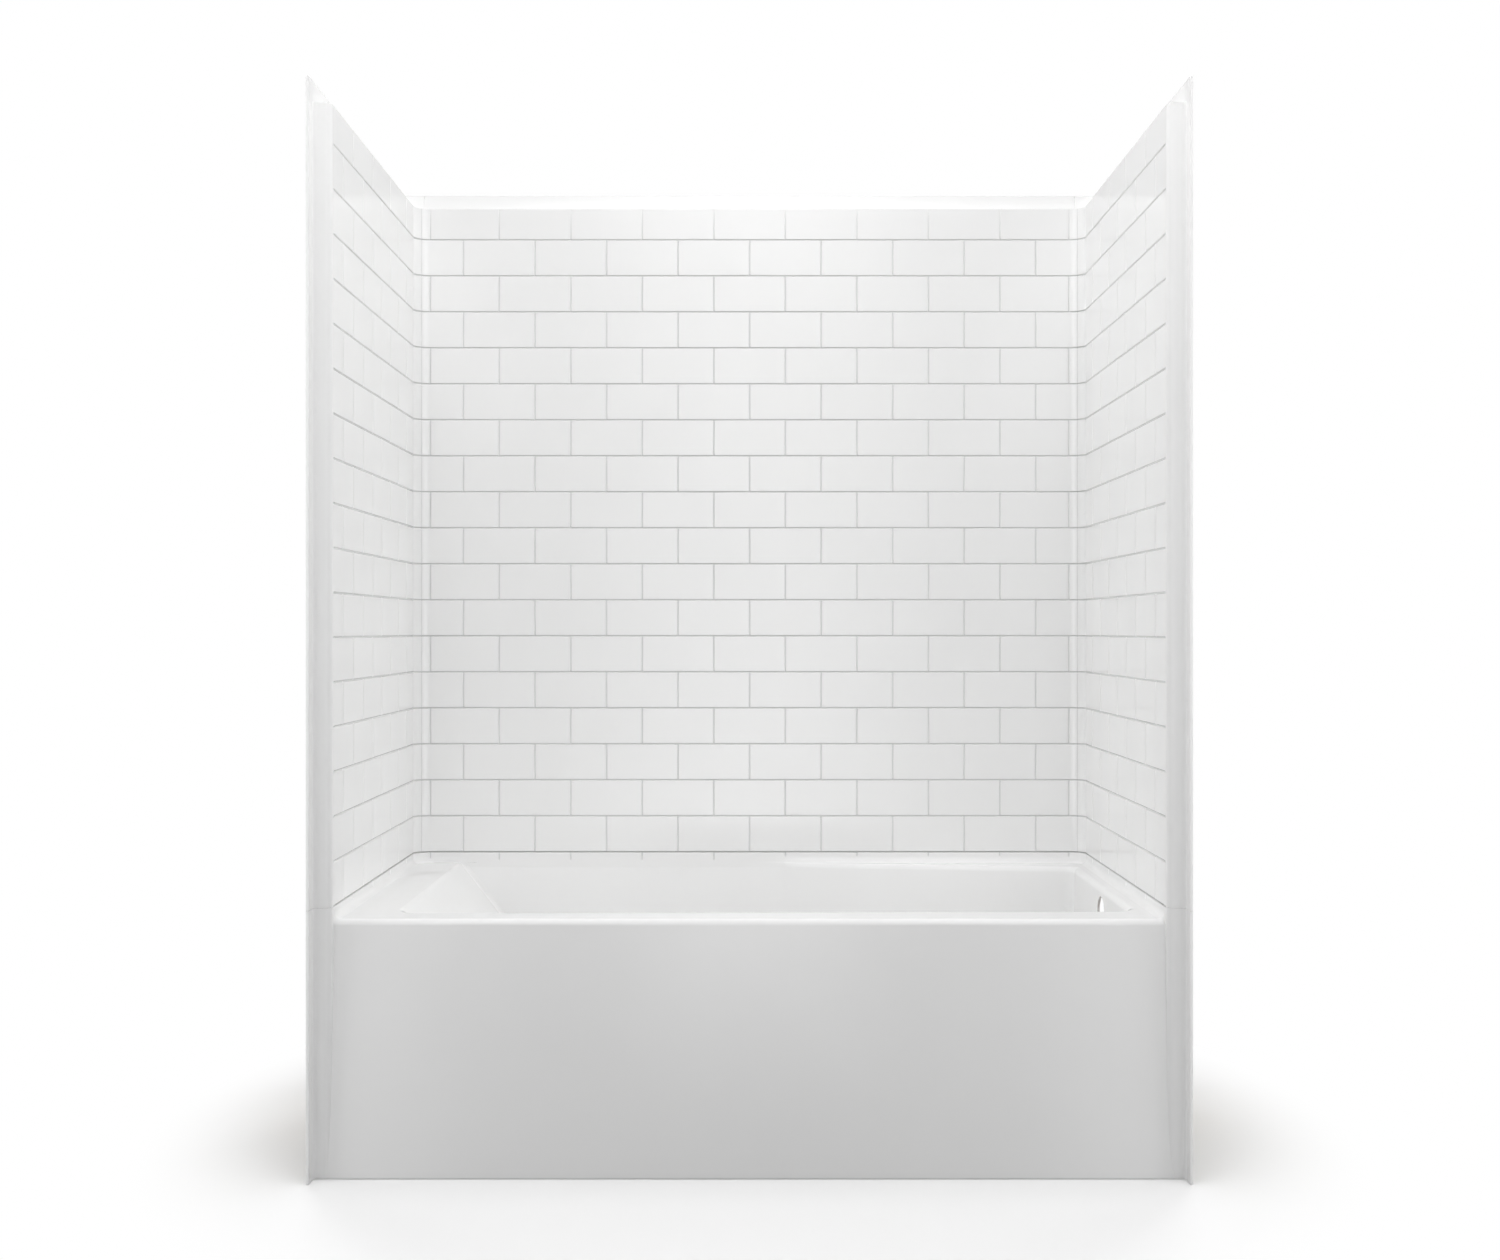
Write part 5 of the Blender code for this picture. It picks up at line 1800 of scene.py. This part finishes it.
@dataclass
class Screws:
    """The fourteen pan-head screws of the joints, modelled once and copied."""

    joints: Joints
    material: bpy.types.Material
    head_radius: float = 0.0048
    head_height: float = 0.003
    head_shares: tuple[tuple[float, float], ...] = ((0.55, 0.96), (0.85, 0.75), (1.0, 0.4))
    recess_length: float = 0.0052
    recess_width: float = 0.0011
    recess_depth: float = 0.0016
    sides: int = 24
    thread_pitch: float = 0.0018
    thread_depth: float = 0.0005
    thread_shares: tuple[float, float, float] = (0.15, 0.5, 0.85)
    tip_share: float = 0.9
    sharp_from: float = math.radians(35)

    def profile(self, length: float) -> Plan:
        """Radius and place along the axis, from the head's crown to the point.

        Args:
            length: from the seat to the point.

        Returns:
            The points of the profile.
        """
        crest = self.joints.screw_radius
        found = [(0.0, -self.head_height)]
        found += [(self.head_radius * out, -self.head_height * up) for out, up in self.head_shares]
        found += [(self.head_radius, 0.0), (crest, 0.0)]
        end = length - 2 * crest
        root = crest - self.thread_depth
        count = int((end - self.head_height) / self.thread_pitch)
        for step in range(count):
            start = self.head_height + self.thread_pitch * step
            places = [start + self.thread_pitch * share for share in self.thread_shares]
            found += zip((root, crest, root), places)
        return [*found, (crest * self.tip_share, end), (0.0, length)]

    def model(self, name: str, length: float) -> Piece:
        """One screw along -Z with its seat at the origin: a profile that is spun, then its cross recess.

        Args:
            name: the model's name.
            length: from the seat to the point.

        Returns:
            The model.
        """
        bpy.ops.object.select_all(action="DESELECT")
        bpy.ops.mesh.primitive_plane_add(size=1)
        made = bpy.context.object
        made.name = made.data.name = name
        points = [(radius, 0.0, -down) for radius, down in self.profile(length)]
        made.data.clear_geometry()
        made.data.from_pydata(points, [(i, i + 1) for i in range(len(points) - 1)], [])
        bpy.ops.object.mode_set(mode="EDIT")
        bpy.ops.mesh.select_all(action="SELECT")
        bpy.ops.mesh.spin(steps=self.sides, angle=2 * math.pi, center=(0, 0, 0), axis=(0, 0, 1))
        bpy.ops.mesh.select_all(action="SELECT")
        bpy.ops.mesh.remove_doubles(threshold=WELD)
        bpy.ops.mesh.normals_make_consistent(inside=False)
        bpy.ops.object.mode_set(mode="OBJECT")
        half, wide, deep = self.recess_length / 2, self.recess_width / 2, self.recess_depth
        top = self.head_height
        arms = [
            self.joints.box((-half, -wide, top - deep), (half, wide, top + deep)),
            self.joints.box((-wide, -half, top - deep), (wide, half, top + deep)),
        ]
        for arm in arms:
            apply_modifier(made, "BOOLEAN", operation="DIFFERENCE", solver="EXACT", object=arm)
            bpy.data.objects.remove(arm)
        pick(made)
        bpy.ops.object.shade_smooth_by_angle(angle=self.sharp_from)
        return made

    def copy(self, model: Piece, name: str, seat: Point, turn: tuple[float, float, float]) -> None:
        """A copy of the model at its seat, with its place in its mesh.

        Args:
            model: the screw that is copied.
            name: the CAD node that the copy stands for.
            seat: where its head rests.
            turn: how it is turned from upright.
        """
        made = model.copy()
        made.data = model.data.copy()
        made.name = made.data.name = f"{name}_fine"
        bpy.context.scene.collection.objects.link(made)
        made.location, made.rotation_euler = seat, turn
        pick(made)
        bpy.ops.object.transform_apply(location=True, rotation=True, scale=True)
        made.data.materials.clear()
        made.data.materials.append(self.material)
        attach(made, "root")
        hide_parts(name)

    def build(self) -> None:
        """All the screws."""
        unit, joints = self.joints.unit, self.joints
        model = self.model("joint_screw_model", joints.screw_length)
        for name, x, y in joints.joint_places():
            self.copy(model, name, (x, y, unit.wall_foot + unit.sheet + unit.fit), (0, 0, 0))
        bpy.data.objects.remove(model)
        model = self.model("corner_screw_model", joints.corner_screw_length)
        for side in Side:
            for index, height in enumerate(joints.corner_heights()):
                x = side.value * (unit.seam_x - unit.fit / 2 - unit.sheet - unit.fit)
                seat = (x, unit.seam_y + joints.screw_inset, height)
                turn = (0, -side.value * math.pi / 2, 0)
                self.copy(model, f"{side.word}_corner_screw_{index + 1}", seat, turn)
        bpy.data.objects.remove(model)
        LOG.info("screws: %d", len(joints.joint_places()) + 2 * len(joints.corner_heights()))


@dataclass
class Seals:
    """The foam strips in the joints, which keep their CAD shape."""

    material: bpy.types.Material
    names: tuple[str, ...] = (
        "back_joint_seal",
        "left_joint_seal",
        "right_joint_seal",
        "left_corner_seal",
        "right_corner_seal",
    )

    def build(self) -> None:
        """Dresses the strips."""
        for name in self.names:
            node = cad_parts[name]
            node.data.materials.clear()
            node.data.materials.append(self.material)
        LOG.info("seals: %d", len(self.names))


@dataclass
class Timber:
    """The pine battens, boards, legs and rails behind the mouldings."""

    along: dict[Grain, bpy.types.Material]
    ease: float = 0.0014
    ease_steps: int = 2
    long_edge: float = 0.010
    flat_within: float = math.radians(1)
    sharp_from: float = math.radians(30)
    marks: tuple[str, ...] = ("batten", "board", "leg", "rail", "stiffener", "bearer")

    def names(self) -> list[str]:
        """The CAD nodes that are timber."""
        return [name for name in sorted(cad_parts) if any(mark in name for mark in self.marks)]

    def grain_of(self, name: str) -> Grain:
        """The way along a board's longest side.

        Args:
            name: the board's CAD node.

        Returns:
            The grain's way.
        """
        low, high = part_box(name)
        sides = [b - a for a, b in zip(low, high)]
        return (Grain.ALONG_X, Grain.ALONG_Y, Grain.ALONG_Z)[sides.index(max(sides))]

    def board(self, name: str) -> None:
        """One board: its node's shape, with eased edges and its own grain.

        Args:
            name: the board's CAD node.
        """
        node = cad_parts[name]
        made = bpy.data.objects.new(f"{name}_fine", node.data.copy())
        bpy.context.scene.collection.objects.link(made)
        pick(made)
        bpy.ops.object.mode_set(mode="EDIT")
        bpy.ops.mesh.select_all(action="SELECT")
        bpy.ops.mesh.remove_doubles(threshold=WELD)
        bpy.ops.mesh.dissolve_limited(angle_limit=self.flat_within)
        bpy.ops.mesh.select_all(action="DESELECT")
        bpy.ops.object.mode_set(mode="OBJECT")
        points = made.data.vertices
        for edge in made.data.edges:
            start, end = (points[index].co for index in edge.vertices)
            edge.select = (end - start).length > self.long_edge
        bpy.ops.object.mode_set(mode="EDIT")
        bpy.ops.mesh.select_mode(type="EDGE")
        bpy.ops.mesh.bevel(offset=self.ease, segments=self.ease_steps, affect="EDGES", clamp_overlap=True)
        bpy.ops.mesh.select_mode(type="VERT")
        bpy.ops.object.mode_set(mode="OBJECT")
        bpy.ops.object.shade_smooth_by_angle(angle=self.sharp_from)
        made.data.materials.clear()
        made.data.materials.append(self.along[self.grain_of(name)])
        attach(made, "root")
        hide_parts(name)

    def build(self) -> None:
        """All the boards."""
        for name in self.names():
            self.board(name)
        LOG.info("timber: %d", len(self.names()))


@dataclass(frozen=True)
class SoftBox:
    """A soft box that looks at a target, with a twin on the other side where it is one of a pair.

    It doesn't show in the gloss, because what the gloss mirrors is the studio's world.
    """

    name: str
    place: Point
    target: Point
    size: tuple[float, float]
    power: float
    twin: bool = False

    def build(self) -> None:
        """The lamp, or the pair of lamps."""
        for side in Side if self.twin else (Side.RIGHT,):
            light = bpy.data.lights.new(f"{self.name}_{side.word}", "AREA")
            light.shape = "RECTANGLE"
            light.size, light.size_y = self.size
            light.energy = self.power
            made = bpy.data.objects.new(light.name, light)
            made.visible_camera = False
            made.visible_glossy = False
            across = Vector((side.value, 1, 1))
            made.location = Vector(self.place) * across
            aim = Vector(self.target) * across - made.location
            made.rotation_euler = aim.to_track_quat("-Z", "Y").to_euler()
            bpy.context.scene.collection.objects.link(made)


@dataclass
class Studio:
    """A plain pale floor and backdrop, soft boxes round the unit, and the view of the photograph."""

    focal_pixels: float = 1652.0
    image_width: float = 1500.0
    sensor: float = 36.0
    eye: Point = (0.001, -3.2339, 0.9535)
    horizon_shift: float = -0.5 / 1500
    floor_size: float = 24.0
    floor_level: float = -0.001
    floor_roughness: float = 0.9
    floor_gloss: float = 0.1
    floor_colour: tuple[float, float, float] = (0.94, 0.94, 0.94)
    floor_bounce: tuple[float, float, float] = (0.05, 0.05, 0.05)
    near_floor: float = 0.78
    far_floor: float = 1.15
    white: tuple[float, float, float, float] = (1.0, 1.0, 1.0, 1.0)
    ambient: float = 0.02
    backdrop_level: float = 0.70
    strip_edge: tuple[float, float] = (0.121, 0.015)
    strip_top: tuple[float, float] = (0.42, 0.30)
    strip_foot: tuple[float, float] = (-0.22, -0.06)
    strip_level: float = 2.0
    side_start: tuple[float, float] = (0.15, 0.31)
    side_end: tuple[float, float] = (0.80, 0.40)
    side_height: tuple[float, float] = (0.75, 0.38)
    side_level: float = 2.4
    least_forward: float = 0.001
    boxes: tuple[SoftBox, ...] = (
        SoftBox("side_soft_box", (2.72, -1.27, 1.0), (0, 0, 0.95), (1.2, 1.6), 21.6, twin=True),
        SoftBox("front_soft_box", (2.12, -2.12, 0.9), (0, 0, 0.95), (1.2, 1.6), 9.8, twin=True),
        SoftBox("middle_soft_box", (1.35, -2.90, 1.4), (0, 0, 0.95), (1.2, 1.6), 12.0, twin=True),
        SoftBox("high_soft_box", (0, -1.8, 3.8), (0, 0, 0.9), (2.0, 1.4), 19.0),
        SoftBox("near_top_soft_box", (0, -0.85, 2.95), (0, -0.1, 0.6), (1.8, 0.8), 14.5),
        SoftBox("wall_top_soft_box", (3.0, 0.3, 2.4), (-0.7, 0, 1.75), (1.2, 0.8), 13.0, twin=True),
        SoftBox("top_soft_box", (0, 0.1, 3.2), (0, 0.1, 0.4), (2.6, 1.0), 17.0),
        SoftBox("rear_soft_box", (1.80, 2.15, 1.15), (0, 0, 0.7), (1.3, 1.3), 40.0, twin=True),
    )

    def camera(self) -> None:
        """The camera at the photograph's viewing angle."""
        lens = bpy.data.cameras.new("view")
        lens.sensor_width = self.sensor
        lens.lens = self.focal_pixels / self.image_width * self.sensor
        lens.shift_y = self.horizon_shift
        made = bpy.data.objects.new("view", lens)
        made.location = self.eye
        made.rotation_euler = (math.pi / 2, 0, 0)
        bpy.context.scene.collection.objects.link(made)
        bpy.context.scene.camera = made

    def seen(self, tree: Tree) -> Socket:
        """A mask of the rays that show the backdrop: the camera's, and those that gloss or glass sends.

        Args:
            tree: the floor's or the world's nodes.

        Returns:
            The mask, 1 for such a ray and 0 for the soft light that goes from surface to surface.
        """
        path = add_node(tree, "ShaderNodeLightPath").outputs
        either = calculate(tree, "MAXIMUM", path["Is Camera Ray"], path["Is Glossy Ray"])
        return calculate(tree, "MAXIMUM", either, path["Is Transmission Ray"])

    def fade(self, tree: Tree, value: Socket, start: float, end: float) -> Socket:
        """A smooth rise from 0 to 1 while a value goes from its start to its end.

        Args:
            tree: the nodes.
            value: the socket of the value.
            start: where the rise begins.
            end: where it is complete.

        Returns:
            The rise's socket.
        """
        feeds = {"Value": value, "From Min": start, "From Max": end}
        made = add_node(tree, "ShaderNodeMapRange", feeds, interpolation_type="SMOOTHSTEP")
        return made.outputs["Result"]

    def floor_paint(self) -> bpy.types.Material:
        """The floor's paint, which keeps the unit's shadow near it and turns to plain white further out.

        Returns:
            The material.
        """
        made = bpy.data.materials.new("pale_floor")
        made.use_nodes = True
        tree = made.node_tree
        shader = tree.nodes["Principled BSDF"]
        shader.inputs["Roughness"].default_value = self.floor_roughness
        shader.inputs["Specular IOR Level"].default_value = self.floor_gloss
        seen = self.seen(tree)
        paint = mix_colours(tree, (*self.floor_bounce, 1), (*self.floor_colour, 1), seen)
        tree.links.new(paint, shader.inputs["Base Color"])
        where = add_node(tree, "ShaderNodeTexCoord").outputs["Object"]
        away = add_node(tree, "ShaderNodeVectorMath", {0: where}, operation="LENGTH").outputs["Value"]
        faded = self.fade(tree, away, self.near_floor, self.far_floor)
        mask = calculate(tree, "MULTIPLY", faded, seen)
        white = add_node(tree, "ShaderNodeEmission").outputs["Emission"]
        mixed = add_node(tree, "ShaderNodeMixShader", {"Fac": mask, 1: shader.outputs["BSDF"], 2: white})
        tree.links.new(mixed.outputs["Shader"], tree.nodes["Material Output"].inputs["Surface"])
        return made

    def floor(self) -> None:
        """A pale floor just under the unit, which its gloss doesn't show."""
        bpy.ops.object.select_all(action="DESELECT")
        bpy.ops.mesh.primitive_plane_add(size=self.floor_size, location=(0, 0, self.floor_level))
        made = bpy.context.object
        made.name = "floor"
        bpy.ops.object.transform_apply(location=True)
        made.data.materials.append(self.floor_paint())
        made.visible_glossy = False

    def panel(self, tree: Tree, *edges: tuple[Socket, tuple[float, float]]) -> Socket:
        """A mask of one soft panel of the mirrored room.

        Args:
            tree: the world's nodes.
            edges: its soft edges, each the socket of a value with where the edge starts and ends.

        Returns:
            The mask's socket.
        """
        mask = self.fade(tree, edges[0][0], *edges[0][1])
        for value, edge in edges[1:]:
            mask = calculate(tree, "MULTIPLY", mask, self.fade(tree, value, *edge))
        return mask

    def mirrored(self, tree: Tree) -> Socket:
        """What gloss shows of the room: a pale backdrop, a strip straight in front, a panel at each side.

        Args:
            tree: the world's nodes.

        Returns:
            The shader of the mirrored room.
        """
        where = add_node(tree, "ShaderNodeTexCoord").outputs["Generated"]
        way = add_node(tree, "ShaderNodeSeparateXYZ", {"Vector": where}).outputs
        sideways = calculate(tree, "ABSOLUTE", way["X"])
        ahead = calculate(tree, "MULTIPLY", way["Y"], -1.0)
        forward = calculate(tree, "MAXIMUM", ahead, self.least_forward)
        turn = calculate(tree, "DIVIDE", sideways, forward)
        rise = calculate(tree, "DIVIDE", way["Z"], forward)
        slope = calculate(tree, "ABSOLUTE", rise)
        strip = self.panel(tree, (turn, self.strip_edge), (rise, self.strip_top), (rise, self.strip_foot))
        sides = self.panel(tree, (turn, self.side_start), (turn, self.side_end), (slope, self.side_height))
        level = calculate(tree, "MULTIPLY_ADD", strip, self.strip_level, self.backdrop_level)
        level = calculate(tree, "MULTIPLY_ADD", sides, self.side_level, level)
        feeds = {"Color": self.white, "Strength": level}
        return add_node(tree, "ShaderNodeBackground", feeds).outputs["Background"]

    def world(self) -> None:
        """Soft light from all round, the mirrored room for the gloss, and white behind the unit."""
        made = bpy.data.worlds.new("studio")
        bpy.context.scene.world = made
        made.use_nodes = True
        tree = made.node_tree
        soft = tree.nodes["Background"]
        soft.inputs["Color"].default_value = self.white
        soft.inputs["Strength"].default_value = self.ambient
        white = add_node(tree, "ShaderNodeBackground", {"Color": self.white}).outputs["Background"]
        path = add_node(tree, "ShaderNodeLightPath")
        feeds = {"Fac": self.seen(tree), 1: soft.outputs["Background"], 2: self.mirrored(tree)}
        glossed = add_node(tree, "ShaderNodeMixShader", feeds)
        feeds = {"Fac": path.outputs["Is Camera Ray"], 1: glossed.outputs["Shader"], 2: white}
        mixed = add_node(tree, "ShaderNodeMixShader", feeds)
        tree.links.new(mixed.outputs["Shader"], tree.nodes["World Output"].inputs["Surface"])

    def build(self) -> None:
        """The whole studio."""
        self.camera()
        self.floor()
        self.world()
        for box in self.boxes:
            box.build()
        bpy.context.scene.view_settings.view_transform = "Standard"


def main() -> None:
    """Builds the unit's pieces in order, then the studio."""
    logging.basicConfig(level=logging.INFO, format="%(name)s: %(message)s")
    pattern, joints = TilePattern(), Joints()
    face, back = Gelcoat().material(), RawGlass().material()
    Bath(pattern, joints, face, back).build()
    BackWall(pattern, joints, face, back).build()
    for side in Side:
        SideWall(pattern, joints, face, back, side=side).build()
    Screws(joints, Zinc().material()).build()
    Seals(Foam().material()).build()
    grains = {grain: Pine(name=f"pine_{grain.name.lower()}", grain=grain).material() for grain in Grain}
    Timber(grains).build()
    Studio().build()


if __name__ == "__main__":
    main()
